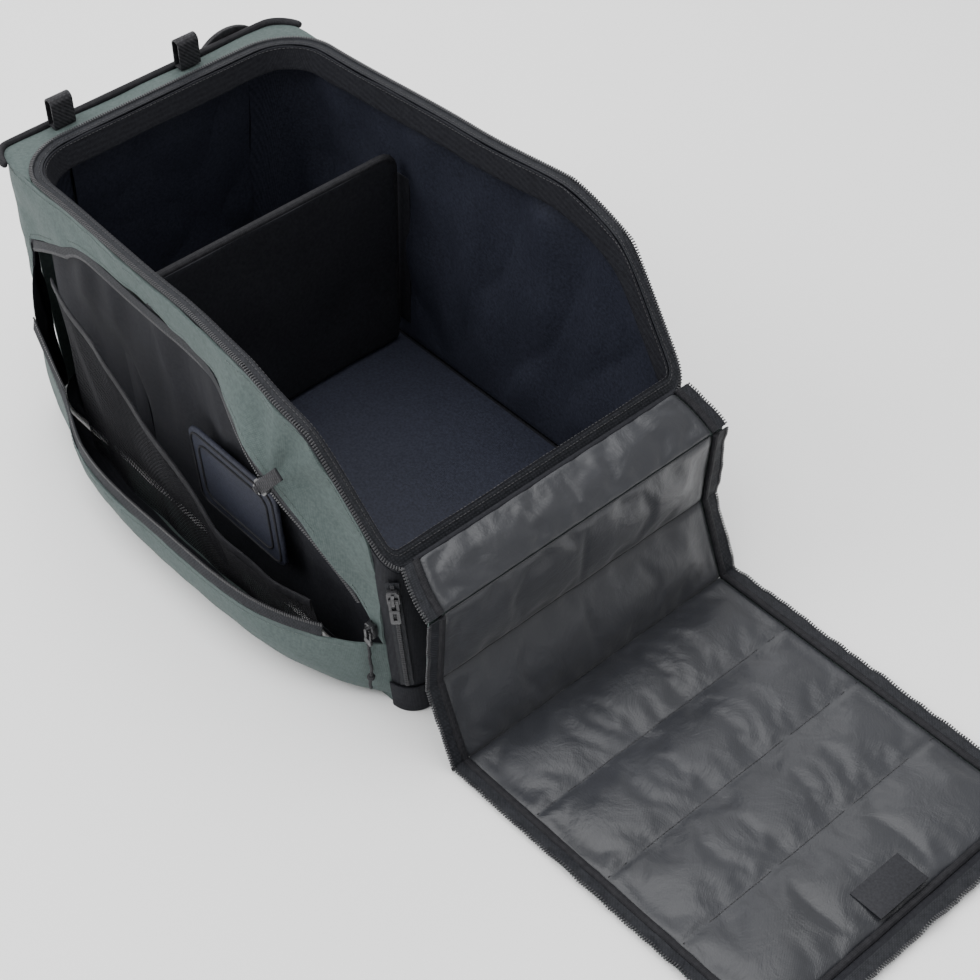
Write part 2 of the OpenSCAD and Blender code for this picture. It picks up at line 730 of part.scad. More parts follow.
anchor_w = 26;
module divider_anchors() {
    z0 = divider_foot + 20;
    z1 = divider_h - 30;
    i0 = (near_centre_x - (divider_x + anchor_w / 2)) / (near_centre_x - far_centre_x) * run_n;
    i1 = (near_centre_x - (divider_x - anchor_w / 2)) / (near_centre_x - far_centre_x) * run_n;
    d = lining_d + lining_t + layer_gap;
    rows = [for (e = [d, d + 1.5]) [for (i = [i0, i1]) [for (z = [z0, z1]) side_pt(i, z, e)]]];
    color(black) both_sides() between_sheets(rows[0], rows[1]);
}

// Fold of cloth that the lid swings on
fold_r = 2.6;
module lid_hinge_fold() {
    half = rim_w_near / 2 - near_corner_r - 2;
    color(black) union() {
        translate([hinge_x, 0, hinge_h]) rotate([90, 0, 0])
            cylinder(2 * half, fold_r, fold_r, center = true, $fn = 48);
        block([hinge_x - 1, -half, rim_z(near_x) + tape_top + 2], [hinge_x + 1, half, hinge_h]);
    }
}

// Zip sliders and pulls. A slider's local frame: X across the zip, Y out, Z along it.
slider_t = 5.6;
slider_clear = 0.4;
bridge_gap = 2.4;
bridge_t = 1.6;
bridge_w = 2.8;
bridge_l = slider_l - 6;
module zip_slider(coil_w, coil_t) {
    difference() {
        union() {
            plate_y([-slider_w / 2, 0, -slider_l / 2], [slider_w / 2, slider_t, slider_l / 2], 3);
            block([-bridge_w / 2, slider_t, -bridge_l / 2],
                [bridge_w / 2, slider_t + bridge_gap + bridge_t, bridge_l / 2]);
        }
        block([-coil_w / 2 - slider_clear, -1, -slider_l],
            [coil_w / 2 + slider_clear, coil_t + slider_clear, slider_l]);
        block([-bridge_w, slider_t, -bridge_l / 2 + 1.4],
            [bridge_w, slider_t + bridge_gap, bridge_l / 2 - 1.4]);
    }
}

// A plate standing in the XZ plane with rounded corners
module plate_y(low, high, r) {
    size = high - low;
    translate([low[0], high[1], low[2]]) rotate([90, 0, 0])
        plate([0, 0, 0], [size[0], size[2], size[1]], r);
}

ring_t = 1.6;
// A hooked pull that hangs from a slider's bridge: a bar through the bridge and two legs
module zip_pull(length, width) {
    y = slider_t + bridge_gap / 2;
    union() {
        translate([0, y, 0]) rotate([0, 90, 0]) cylinder(width, ring_t / 2, ring_t / 2, center = true, $fn = 32);
        for (s = [-1, 1]) block([s > 0 ? width / 2 - 2.4 : -width / 2, y - ring_t / 2, -length * 0.45],
            [s > 0 ? width / 2 : -width / 2 + 2.4, y + ring_t / 2, 0]);
        difference() {
            plate_y([-width / 2, y - 1.3, -length], [width / 2, y + 1.3, -length * 0.4], 2.2);
            block([-1.6, y - 4, -length + 5], [1.6, y + 4, -length * 0.4 - 4]);
        }
    }
}

slider_off = edge_off + tape_t;
main_slider_up = edge_end - slider_l / 2 - 6;
pull_w = 9;

module main_slider() {
    color(black) on_edge(main_slider_up) translate([0, slider_off + slider_clear, 0])
        zip_slider(edge_coil_w, edge_coil_t);
}

module main_pull() {
    color(satin) on_edge(main_slider_up) translate([0, slider_off + slider_clear, 0])
        zip_pull(pull_l, pull_w);
}

module main_slider_left() {
    main_slider();
}

module main_slider_right() {
    mirror([0, 1, 0]) main_slider();
}

module main_pull_left() {
    main_pull();
}

module main_pull_right() {
    mirror([0, 1, 0]) main_pull();
}

// Pocket sliders ride just outside the lips. They are turned about the across axis, so that Z
// follows the lip there.
upper_slider_x = 172;
upper_slider_i = (near_centre_x - upper_slider_x) / (near_centre_x - far_centre_x) * run_n;
lower_slider_x = 262;
lower_slider_i = (near_centre_x - lower_slider_x) / (near_centre_x - far_centre_x) * run_n;
slide_out = 2.6;

function lip_angle(i) =
    let (a = side_pt(i - 0.5, upper_lip(i - 0.5), 0), b = side_pt(i + 0.5, upper_lip(i + 0.5), 0))
    atan2(b[2] - a[2], a[0] - b[0]);

// Local frame at a lip: X up across the lip, Y out of the bag, Z along the lip to the far end
module on_lip(i, stand = 0) {
    p = side_pt(i, upper_lip(i), -slide_out) + stand * out(i);
    translate(p) rotate([0, lip_angle(i) - 90, 0]) mirror([0, 1, 0]) children();
}

module lip_slider() {
    zip_slider(3, 1);
}

module pocket_slider_upper_left() {
    color(black) on_lip(upper_slider_i, lip_out(upper_slider_i)) lip_slider();
}

// A webbing pull: its eye goes round the slider's bridge, and it lies across the zip
tab_w = 12;
tab_t = 2.4;
tab_bar_y = slider_t + bridge_gap + bridge_t / 2;
eye_r = 2.8;
eye_hole_r = 1.95;
eye_w = 6.2;
tab_tilt = 14;
module webbing_tab() {
    translate([0, tab_bar_y, 0]) rotate([0, 0, -tab_tilt]) union() {
        difference() {
            cylinder(eye_w, eye_r, eye_r, center = true, $fn = 48);
            cylinder(eye_w + 1, eye_hole_r, eye_hole_r, center = true, $fn = 48);
        }
        block([eye_hole_r + 0.4, -tab_t / 2, -eye_w / 2], [eye_r + 1, tab_t / 2, eye_w / 2]);
        block([eye_r + 0.6, -tab_t / 2, -tab_w / 2], [tab_l, tab_t / 2, tab_w / 2]);
    }
}

module pocket_pull_upper_left() {
    color(black) on_lip(upper_slider_i, lip_out(upper_slider_i)) webbing_tab();
}

module pocket_slider_lower_left() {
    color(black) translate(lower_point) mirror([0, 1, 0]) lip_slider();
}

// The lower pull hangs straight down from its slider, with the cord below it
lower_point = side_pt(lower_slider_i, upper_lip(lower_slider_i), -slide_out)
    + lip_out(lower_slider_i) * out(lower_slider_i);
lower_bar_y = lower_point[1] - slider_t - bridge_gap / 2;
short_pull_l = 16;
short_plate_z = 8.5;
module pocket_pull_lower_left() {
    half = pull_w / 2;
    color(satin) translate([lower_point[0], lower_bar_y, lower_point[2]]) union() {
        rotate([0, 90, 0]) cylinder(pull_w, ring_t / 2, ring_t / 2, center = true, $fn = 32);
        for (s = [-1, 1]) block([s > 0 ? half - 1.9 : -half, -ring_t / 2, -short_plate_z - 1],
            [s > 0 ? half : 1.9 - half, ring_t / 2, 0]);
        plate_y([-half, -1.2, -short_pull_l], [half, 1.2, -short_plate_z], 2.2);
    }
}

cord_d = 3;
// The cord's route below the pull, as distances from the slider
cord_route = [[0, 0, -16], [0, 0, -20], [0, 0, -24], [1, 0, -28], [1, -1, -32], [2, -1, -36],
    [2, -1, -40], [2, 0, -44], [2, 0, -48], [1, 0, -52], [1, 0, -56], [0, 0, -60], [0, -1, -64],
    [-1, -1, -68], [-1, -1, -72], [-1, 0, -76]];
module pull_cord_left() {
    at = [lower_point[0], lower_bar_y, lower_point[2]];
    sides = 8;
    n = len(cord_route);
    points = [for (k = [0:n - 1]) let (p = cord_route[k], b = cord_route[min(n - 1, k + 1)],
            a = cord_route[max(0, k - 1)], d = (b - a) / norm(b - a),
            u = cross(d, [0, 1, 0]) / norm(cross(d, [0, 1, 0])), v = cross(d, u))
        for (s = [0:sides - 1]) at + p + cord_d / 2 * (cos(360 * s / sides) * u + sin(360 * s / sides) * v)];
    sleeve = [for (k = [0:n - 2]) for (s = [0:sides - 1])
        let (p = k * sides + s, q = k * sides + (s + 1) % sides, r = p + sides, t = q + sides)
        each [[p, r, q], [q, r, t]]];
    caps = [for (s = [1:sides - 2]) each [[0, s, s + 1],
        [(n - 1) * sides, (n - 1) * sides + s + 1, (n - 1) * sides + s]]];
    color(black) polyhedron(points, concat(sleeve, caps), convexity = 4);
}

right_slider_x = 230;
right_slider_i = (near_centre_x - right_slider_x) / (near_centre_x - far_centre_x) * run_n;
module pocket_slider_right() {
    color(black) mirror([0, 1, 0]) on_lip(right_slider_i) translate([0, 3.2, 0]) lip_slider();
}

module pocket_pull_right() {
    color(satin) mirror([0, 1, 0]) on_lip(right_slider_i) translate([0, 3.2, 0])
        zip_pull(pull_l, pull_w);
}

// Lid: four stiff lengths, each with its outer cloth, quilted mat, edge binding and zip edge.
// A length's local frame: X along it from its fold, Z towards the mat's face.
module on_lid(k) {
    translate(chain(rest_angle, k)) rotate([0, -rest_angle[k], 0]) children();
}

start_gap = [3.5, 1.8, 0.6, 0.6];
end_gap = [1.8, 0.6, 0.6, 0];
valley = 6;
skin_under = layer_gap / 2;

// Outline of the last length, with its two round corners at the free end
module end_outline(u0, u1, half, r) {
    union() {
        translate([u0, -half]) square([u1 - u0 - r, 2 * half]);
        translate([u0, -half + r]) square([u1 - u0, 2 * (half - r)]);
        for (s = [-1, 1]) translate([u1 - r, s * (half - r)]) circle(r, $fn = 64);
    }
}

module lid_shell(k) {
    color(black) on_lid(k)
        block([start_gap[k], -lid_half, -lid_skin_t], [panel_l[k] - end_gap[k], lid_half, 0]);
}

module lid_shell_1() { lid_shell(0); }
module lid_shell_2() { lid_shell(1); }
module lid_shell_3() { lid_shell(2); }
module lid_shell_4() {
    color(black) on_lid(3) translate([0, 0, -lid_skin_t]) linear_extrude(lid_skin_t)
        end_outline(start_gap[3], panel_l[3] + lid_end_w + binding_w, lid_half,
            mat_corner_r + binding_w + lid_zip_w);
}

// The section of a run of pillows: each rises from a valley to the mat's full thickness
function pillows(u0, u1, n) = let (w = (u1 - u0) / n, foot = mat_t * 0.3) concat(
    [[u0, skin_under]],
    [for (c = [0:n - 1]) each [[u0 + c * w, c == 0 ? skin_under + 0.5 : foot],
        [u0 + c * w + valley, mat_t * 0.85], [u0 + c * w + 2.4 * valley, mat_t],
        [u0 + (c + 1) * w - 2.4 * valley, mat_t], [u0 + (c + 1) * w - valley, mat_t * 0.85]]],
    [[u1, skin_under + 0.5], [u1, skin_under]]);

module mat_run(k, u0, u1, n) {
    rotate([90, 0, 0]) linear_extrude(mat_w, center = true) polygon(pillows(u0, u1, n));
}

mat_inset = 1.5;
module lid_mat(k) {
    color(satin) on_lid(k) mat_run(k, start_gap[k] + mat_inset, panel_l[k] - mat_inset, 1);
}

module lid_mat_1() { lid_mat(0); }
module lid_mat_2() { lid_mat(1); }
module lid_mat_3() { lid_mat(2); }
module lid_mat_4() {
    color(satin) on_lid(3) intersection() {
        mat_run(3, mat_inset, panel_l[3], floor_channels);
        linear_extrude(mat_t) end_outline(0, panel_l[3], mat_half, mat_corner_r);
    }
}

edge_t = 5;
module lid_binding(k) {
    y = mat_half + layer_gap;
    u0 = start_gap[k] + edge_t;
    u1 = panel_l[k] - edge_t;
    color(black) on_lid(k) both_sides() block([u0, y, skin_under], [u1, y + binding_w, edge_t]);
}

module lid_binding_1() { lid_binding(0); }
module lid_binding_2() { lid_binding(1); }
module lid_binding_3() { lid_binding(2); }
module lid_binding_4() {
    grow = layer_gap + binding_w;
    color(black) on_lid(3) translate([0, 0, skin_under]) linear_extrude(edge_t - skin_under)
        difference() {
            end_outline(edge_t, panel_l[3] + grow, binding_half, mat_corner_r + grow);
            end_outline(0, panel_l[3] + layer_gap, mat_half + layer_gap, mat_corner_r + layer_gap);
        }
}

lid_zip_t = 6;
module lid_zip(k) {
    y = binding_half + layer_gap;
    u0 = start_gap[k] + lid_zip_t;
    u1 = panel_l[k] - lid_zip_t;
    color(black) on_lid(k) both_sides() block([u0, y, skin_under], [u1, lid_half, lid_zip_t]);
}

module lid_zip_1() { lid_zip(0); }
module lid_zip_2() { lid_zip(1); }
module lid_zip_3() { lid_zip(2); }
module lid_zip_4() {
    gap = 2 * layer_gap + binding_w;
    r = mat_corner_r + gap;
    color(black) on_lid(3) translate([0, 0, skin_under]) linear_extrude(edge_t - skin_under)
        difference() {
            end_outline(lid_zip_t, panel_l[3] + lid_end_w + binding_w, lid_half, r + lid_zip_w);
            end_outline(0, panel_l[3] + gap, binding_half + layer_gap, r);
        }
}

label_w = 60;
label_l = 34;
label_y = 6;
module label_patch() {
    u = panel_l[3] + layer_gap + binding_w;
    color(black) on_lid(3) block([u - label_l, label_y - label_w / 2, mat_t + 0.2],
        [u, label_y + label_w / 2, mat_t + 1.2]);
}

back_panel();
back_pads();
shoulder_straps();
strap_webbing();
ladderlocks();
floor_lining();
near_end_wall();
far_end_wall();
far_fascia();
far_binding();
side_strip_left();
side_strip_right();
pocket_panel_left();
pocket_panel_right();
side_lining_left();
side_lining_right();
near_end_lining();
far_end_lining();
collar_band();
rim_zip_tape();
corner_zips();
base_corners();
pocket_zip_upper_left();
pocket_zip_lower_left();
pocket_zip_right();
mesh_pocket_left();
sleeve_pocket_left();
webbing_loops();
grab_handle();
lid_hinge_fold();
divider();
divider_anchors();
main_slider_left();
main_pull_left();
main_slider_right();
main_pull_right();
pocket_slider_upper_left();
pocket_pull_upper_left();
pocket_slider_lower_left();
pocket_pull_lower_left();
pull_cord_left();
pocket_slider_right();
pocket_pull_right();
lid_shell_1();
lid_shell_2();
lid_shell_3();
lid_shell_4();
lid_mat_1();
lid_mat_2();
lid_mat_3();
lid_mat_4();
lid_binding_1();
lid_binding_2();
lid_binding_3();
lid_binding_4();
lid_zip_1();
lid_zip_2();
lid_zip_3();
lid_zip_4();
label_patch();
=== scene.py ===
# %% [markdown]
# # Ski boot bag
# A soft bag lies open on its back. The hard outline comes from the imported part, which is loaded
# as a fixed frame. Each cell below makes one kind of piece or finish, and says why it was made
# that way.

# %% Load the frame
import json
import math

import bpy
import numpy as np
from mathutils import Matrix, Vector, noise
from mathutils.bvhtree import BVHTree


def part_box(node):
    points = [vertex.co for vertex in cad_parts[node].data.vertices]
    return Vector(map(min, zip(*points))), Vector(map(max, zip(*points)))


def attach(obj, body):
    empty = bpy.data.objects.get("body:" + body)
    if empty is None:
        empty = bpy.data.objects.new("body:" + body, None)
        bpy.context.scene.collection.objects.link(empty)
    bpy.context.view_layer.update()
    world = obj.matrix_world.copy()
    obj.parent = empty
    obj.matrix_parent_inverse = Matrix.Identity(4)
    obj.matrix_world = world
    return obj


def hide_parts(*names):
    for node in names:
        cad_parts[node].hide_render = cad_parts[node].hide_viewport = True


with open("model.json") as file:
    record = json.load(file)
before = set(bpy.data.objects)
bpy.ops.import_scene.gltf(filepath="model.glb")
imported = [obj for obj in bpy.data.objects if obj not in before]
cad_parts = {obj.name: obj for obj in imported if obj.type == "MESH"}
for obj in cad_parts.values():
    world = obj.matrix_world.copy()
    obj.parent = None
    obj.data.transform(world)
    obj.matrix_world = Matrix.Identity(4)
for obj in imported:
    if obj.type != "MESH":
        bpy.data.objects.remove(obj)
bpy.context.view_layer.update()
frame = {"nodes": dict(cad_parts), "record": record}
nodes = frame["nodes"]
body_of = {n: b for b, names in frame["record"]["behaviour"]["bodies"].items() for n in names}

# %% [markdown]
# ## Camera
# The bag is seen from above its boot end, a little to the side of the open pocket. A long lens
# keeps the far end from looking small.

# %% Camera
CAMERA_PLACE = (1.23358, -0.89542, 1.47054)
AZIMUTH, ELEVATION, ROLL = (math.radians(a) for a in (48.655, 44.892, 0.854))
SENSOR, LENS_PER_SENSOR = 36, 2101.73 / 980
back = Vector((math.sin(AZIMUTH) * math.cos(ELEVATION), -math.cos(AZIMUTH) * math.cos(ELEVATION),
               math.sin(ELEVATION)))
across = back.cross(Vector((0, 0, 1))).normalized() * -1
upward = back.cross(across)
turned_x = math.cos(ROLL) * across - math.sin(ROLL) * upward
turned_y = math.sin(ROLL) * across + math.cos(ROLL) * upward
camera = bpy.data.objects.new("camera", bpy.data.cameras.new("camera"))
bpy.context.scene.collection.objects.link(camera)
camera.matrix_world = Matrix([(turned_x[i], turned_y[i], back[i], CAMERA_PLACE[i])
                              for i in range(3)] + [(0, 0, 0, 1)])
camera.data.sensor_width = SENSOR
camera.data.lens = SENSOR * LENS_PER_SENSOR
camera.data.clip_start = 0.05
bpy.context.scene.camera = camera
print("lens", round(camera.data.lens, 1), "mm")

# %% [markdown]
# ## Floor and light
# A pale floor, one broad lamp overhead, a window on the open pocket's side and a weaker one behind
# show cloth well: folds stay readable in the black pieces, and no shadow is hard.

# %% Floor and light
def blank(name):
    m = bpy.data.materials.new(name)
    m.use_nodes = True
    return m, m.node_tree, m.node_tree.nodes["Principled BSDF"]


bpy.ops.object.select_all(action="DESELECT")
bpy.ops.mesh.primitive_plane_add(size=12, location=(0.2, 0, -0.0005))
floor = bpy.context.object
floor.name = "floor"
pale, _, pale_shader = blank("pale_floor")
pale_shader.inputs["Base Color"].default_value = (0.96, 0.96, 0.96, 1)
pale_shader.inputs["Roughness"].default_value = 0.9
floor.data.materials.append(pale)


def lamp(name, place, target, size, power):
    light = bpy.data.lights.new(name, "AREA")
    light.size = size
    light.energy = power
    o = bpy.data.objects.new(name, light)
    o.location = place
    o.rotation_euler = (Vector(target) - Vector(place)).to_track_quat("-Z", "Y").to_euler()
    bpy.context.scene.collection.objects.link(o)


lamp("overhead", (0.1, -0.2, 3.2), (0.2, 0, 0.1), 3.0, 105)
lamp("window", (-1.2, -2.0, 2.2), (0.1, 0.1, 0.2), 1.6, 50)
lamp("back_window", (-1.9, 1.4, 1.8), (0.1, 0, 0.1), 1.6, 22)
world = bpy.data.worlds.new("studio")
world.use_nodes = True
world.node_tree.nodes["Background"].inputs[0].default_value = (1, 1, 1, 1)
world.node_tree.nodes["Background"].inputs[1].default_value = 0.78
bpy.context.scene.world = world
print("floor, three lights and a pale world")

# %% [markdown]
# ## The pull cord
# A thin braided cord hangs from the lower pocket slider's pull. On the real bag it is doubled
# through the pull and knotted, and here the pair is one strand of the pair's thickness. It is so
# light that it hangs nearly straight. It takes the route of the part's own cord, so it is a curve
# along those points, given in millimetres from the pull, with a round profile.

# %% Cord
CORD_THICK = 0.003
cord_top = Vector((0.262, -0.183617, 0.104676))
cord_steps = [(0, 0, -16), (0, 0, -20), (0, 0, -24), (1, 0, -28), (1, -1, -32), (2, -1, -36),
              (2, -1, -40), (2, 0, -44), (2, 0, -48), (1, 0, -52), (1, 0, -56), (0, 0, -60),
              (0, -1, -64), (-1, -1, -68), (-1, -1, -72), (-1, 0, -76)]


def run_of_cord(name, points, radius):
    curve = bpy.data.curves.new(name, "CURVE")
    curve.dimensions = "3D"
    curve.bevel_depth = radius
    curve.bevel_resolution = 3
    curve.use_fill_caps = True
    spline = curve.splines.new("POLY")
    spline.points.add(len(points) - 1)
    for p, q in zip(spline.points, points):
        p.co = (*q, 1)
    o = bpy.data.objects.new(name, curve)
    bpy.context.scene.collection.objects.link(o)
    return o


cord_points = [cord_top + Vector(p) / 1000 for p in cord_steps]
pull_cord = run_of_cord("pull_cord", cord_points, CORD_THICK / 2)
print("cord laid through", len(cord_points), "points")

# %% [markdown]
# ## Finishes
# All the cloth is woven, so one maker of materials serves most pieces. Two crossed bands give the
# yarns, a fine noise makes each yarn a little lighter or darker, and a broad noise keeps a whole
# panel from being one flat colour. The bands lie in the plane that the piece mostly faces.

# %% Helpers for finishes
TURNED = {"x": (0, math.pi / 2, 0), "y": (math.pi / 2, 0, 0), "z": (0, 0, 0)}


def band_scale(pitch):
    return math.pi / 10 / pitch


def add_node(tree, kind, feeds, **settings):
    made = tree.nodes.new("ShaderNode" + kind)
    for key, value in settings.items():
        setattr(made, key, value)
    for key, value in feeds.items():
        if isinstance(value, bpy.types.NodeSocket):
            tree.links.new(value, made.inputs[key])
        else:
            made.inputs[key].default_value = value
    return made.outputs


def mixed(tree, dark, light, share):
    return add_node(tree, "Mix", {"A": (*dark, 1), "B": (*light, 1), "Factor": share},
                    data_type="RGBA")["Result"]


def gloss_range(tree, shader, low, high, share):
    shine = add_node(tree, "MapRange", {"To Min": low, "To Max": high, "Value": share})
    tree.links.new(shine[0], shader.inputs["Roughness"])


print("weave of 1.3 mm needs a band scale of", round(band_scale(0.0013)))


# %% Woven cloth
def woven(name, dark, light, facing, pitch, rough, sheen=0.0, depth=0.35, twill=False):
    m, tree, shader = blank(name)
    where = add_node(tree, "TexCoord", {})["Object"]
    turned = add_node(tree, "Mapping", {"Rotation": TURNED[facing], "Vector": where})[0]
    bands = [add_node(tree, "TexWave", {"Scale": band_scale(pitch), "Distortion": 1.2, "Detail": 1,
                                        "Detail Scale": 0.4, "Vector": turned},
                      bands_direction=direction)["Fac"]
             for direction in ("X", "DIAGONAL" if twill else "Y")]
    cross = add_node(tree, "Math", {0: bands[0], 1: bands[1]}, operation="MULTIPLY")[0]
    yarn = add_node(tree, "TexNoise", {"Scale": 0.42 / pitch, "Detail": 3, "Vector": where})["Fac"]
    broad = add_node(tree, "TexNoise", {"Scale": 9, "Detail": 4, "Vector": where})["Fac"]
    cloth = add_node(tree, "Math", {0: cross, 1: 0.45, 2: yarn}, operation="MULTIPLY_ADD")[0]
    share = add_node(tree, "MapRange", {"From Min": 0.3, "From Max": 1.0, "Value": cloth})[0]
    faded = add_node(tree, "Mix", {"A": mixed(tree, dark, light, share), "B": broad,
                                   "Factor": 0.12}, data_type="RGBA", blend_type="OVERLAY")
    tree.links.new(faded["Result"], shader.inputs["Base Color"])
    gloss_range(tree, shader, rough - 0.07, rough + 0.07, broad)
    shader.inputs["Specular IOR Level"].default_value = 0.2
    shader.inputs["Sheen Weight"].default_value = sheen
    shader.inputs["Sheen Roughness"].default_value = 0.45
    shader.inputs["Sheen Tint"].default_value = (*light, 1)
    bump = add_node(tree, "Bump", {"Strength": depth, "Distance": pitch * 0.5, "Height": cloth})
    tree.links.new(bump[0], shader.inputs["Normal"])
    return m


print("woven cloth can be made")

# %% Cloth, tape and webbing colours
GREEN_DARK, GREEN_LIGHT = (0.050, 0.068, 0.066), (0.092, 0.118, 0.114)
green_side = woven("sage_cloth_side", GREEN_DARK, GREEN_LIGHT, "y", 0.0013, 0.72, 0.25)
green_end = woven("sage_cloth_end", GREEN_DARK, GREEN_LIGHT, "x", 0.0013, 0.72, 0.25)
green_top = woven("sage_cloth_top", GREEN_DARK, GREEN_LIGHT, "z", 0.0013, 0.72, 0.25)
NAVY_DARK, NAVY_LIGHT = (0.012, 0.013, 0.020), (0.032, 0.036, 0.054)
navy_side = woven("navy_lining_side", NAVY_DARK, NAVY_LIGHT, "y", 0.0011, 0.55, 0.1, 0.3)
navy_end = woven("navy_lining_end", NAVY_DARK, NAVY_LIGHT, "x", 0.0011, 0.55, 0.1, 0.3)
navy_floor = woven("navy_lining_floor", NAVY_DARK, NAVY_LIGHT, "z", 0.0011, 0.55, 0.1, 0.3)
BLACK_DARK, BLACK_LIGHT = (0.006, 0.006, 0.009), (0.016, 0.017, 0.021)
black_end = woven("black_cloth_end", BLACK_DARK, BLACK_LIGHT, "x", 0.0014, 0.75, 0.15)
black_top = woven("black_cloth_top", BLACK_DARK, BLACK_LIGHT, "z", 0.0014, 0.75, 0.15)
black_side = woven("black_cloth_side", BLACK_DARK, BLACK_LIGHT, "y", 0.0014, 0.75, 0.15)
tape_top = woven("zip_tape_twill", (0.006, 0.007, 0.009), (0.022, 0.023, 0.028), "z", 0.0016, 0.62,
                 0.1, 0.5, twill=True)
tape_side = woven("zip_tape_twill_side", (0.006, 0.007, 0.009), (0.022, 0.023, 0.028), "y", 0.0016,
                  0.62, 0.1, 0.5, twill=True)
ribbed = woven("webbing_ribs", (0.010, 0.010, 0.012), (0.036, 0.036, 0.040), "z", 0.0022, 0.5, 0.1,
               0.6, twill=True)
binding_weave = woven("binding_grosgrain", (0.006, 0.006, 0.008), (0.020, 0.020, 0.023), "z",
                      0.0018, 0.7, 0.15, 0.5)
foam_mesh = woven("padded_mesh", (0.010, 0.010, 0.012), (0.030, 0.030, 0.034), "z", 0.0034, 0.8,
                  0.2, 0.7)
cord_braid = woven("cord_braid", (0.008, 0.008, 0.010), (0.030, 0.030, 0.034), "y", 0.0014, 0.55,
                   0.1, 0.6, twill=True)
pull_cord.data.materials.append(cord_braid)
print("woven finishes made")

# %% [markdown]
# ## Satin, plastic and coated metal
# The mat's satin is smooth and slightly shiny, with crinkles too small to model. Sliders and pulls
# are die-cast and painted, so they are darker, harder and shinier, with paint rubbed thin.

# %% Plastic, thread and coated metal
def moulded(name, dark, light, rough, grain, metal=0.0, coat=0.0):
    m, tree, shader = blank(name)
    where = add_node(tree, "TexCoord", {})["Object"]
    fine = add_node(tree, "TexNoise", {"Scale": grain, "Detail": 5, "Vector": where})["Fac"]
    tree.links.new(mixed(tree, dark, light, fine), shader.inputs["Base Color"])
    gloss_range(tree, shader, rough - 0.1, rough + 0.12, fine)
    shader.inputs["Metallic"].default_value = metal
    shader.inputs["Coat Weight"].default_value = coat
    shader.inputs["Coat Roughness"].default_value = 0.25
    bump = add_node(tree, "Bump", {"Strength": 0.25, "Distance": 0.0002, "Height": fine})
    tree.links.new(bump[0], shader.inputs["Normal"])
    return m


painted = moulded("painted_slider", (0.010, 0.010, 0.012), (0.034, 0.034, 0.038), 0.32, 260,
                  0.4, 0.4)
plastic = moulded("buckle_plastic", (0.010, 0.010, 0.011), (0.024, 0.024, 0.026), 0.42, 420)
tooth_plastic = moulded("zip_tooth", (0.012, 0.012, 0.014), (0.045, 0.045, 0.050), 0.34, 300)
thread_black = moulded("black_thread", (0.012, 0.012, 0.014), (0.040, 0.040, 0.044), 0.6, 900)
thread_green = moulded("sage_thread", (0.062, 0.082, 0.078), (0.105, 0.132, 0.127), 0.65, 900)
print("hard finishes made")


# %% Satin
def satin(name, facing):
    m, tree, shader = blank(name)
    where = add_node(tree, "TexCoord", {})["Object"]
    crinkle = add_node(tree, "TexNoise", {"Scale": 26, "Detail": 7, "Roughness": 0.62,
                                          "Distortion": 0.6, "Vector": where})["Fac"]
    dust = add_node(tree, "TexNoise", {"Scale": 7, "Detail": 6, "Vector": where})["Fac"]
    turned = add_node(tree, "Mapping", {"Rotation": TURNED[facing], "Vector": where})[0]
    weave = add_node(tree, "TexWave", {"Scale": band_scale(0.0009), "Vector": turned},
                     bands_direction="DIAGONAL")["Fac"]
    tree.links.new(mixed(tree, (0.009, 0.010, 0.013), (0.024, 0.026, 0.033), dust),
                   shader.inputs["Base Color"])
    gloss_range(tree, shader, 0.30, 0.52, dust)
    shader.inputs["Sheen Weight"].default_value = 0.12
    fine = add_node(tree, "Bump", {"Strength": 0.12, "Distance": 0.0003, "Height": weave})[0]
    creases = add_node(tree, "Bump", {"Strength": 0.55, "Distance": 0.0035, "Height": crinkle,
                                      "Normal": fine})
    tree.links.new(creases[0], shader.inputs["Normal"])
    return m


label_cloth = woven("label_cloth", (0.012, 0.012, 0.015), (0.030, 0.031, 0.036), "z", 0.0009,
                    0.6, 0.05, 0.3)
satin_flat = satin("mat_satin", "z")
satin_hung = satin("mat_satin_hung", "x")
print("satin finishes made")

# %% [markdown]
# ## Cutting cloth from the part's shells
# Every cloth piece of the part is a thin closed shell with flat facets. A copy of it, merged and
# subdivided, is the same piece with smooth faces. Its folds are then pushed in point by point, and
# both faces of the shell move together, so the cloth keeps its thickness.

# %% Helpers for cloth
def pick(o):
    if bpy.context.mode != "OBJECT":
        bpy.ops.object.mode_set(mode="OBJECT")
    bpy.ops.object.select_all(action="DESELECT")
    o.select_set(True)
    bpy.context.view_layer.objects.active = o


def all_in_edit(o):
    pick(o)
    bpy.ops.object.mode_set(mode="EDIT")
    bpy.ops.mesh.select_all(action="SELECT")


def outward(o):
    all_in_edit(o)
    bpy.ops.mesh.normals_make_consistent(inside=False)
    bpy.ops.object.mode_set(mode="OBJECT")
    return o


def copy_of(node, name):
    o = bpy.data.objects.new(name, nodes[node].data.copy())
    bpy.context.scene.collection.objects.link(o)
    o.data.materials.clear()
    all_in_edit(o)
    bpy.ops.mesh.remove_doubles(threshold=0.00003)
    bpy.ops.object.mode_set(mode="OBJECT")
    for layer in list(o.data.uv_layers):
        o.data.uv_layers.remove(layer)
    return o


def modify(o, kind, **settings):
    pick(o)
    m = o.modifiers.new(kind.lower(), kind)
    for key, value in settings.items():
        setattr(m, key, value)
    bpy.ops.object.modifier_apply(modifier=m.name)


def places(o):
    co = np.zeros(len(o.data.vertices) * 3, np.float32)
    o.data.vertices.foreach_get("co", co)
    return co.reshape(-1, 3).astype(float)


def set_places(o, co):
    o.data.vertices.foreach_set("co", co.astype(np.float32).ravel())
    o.data.update()


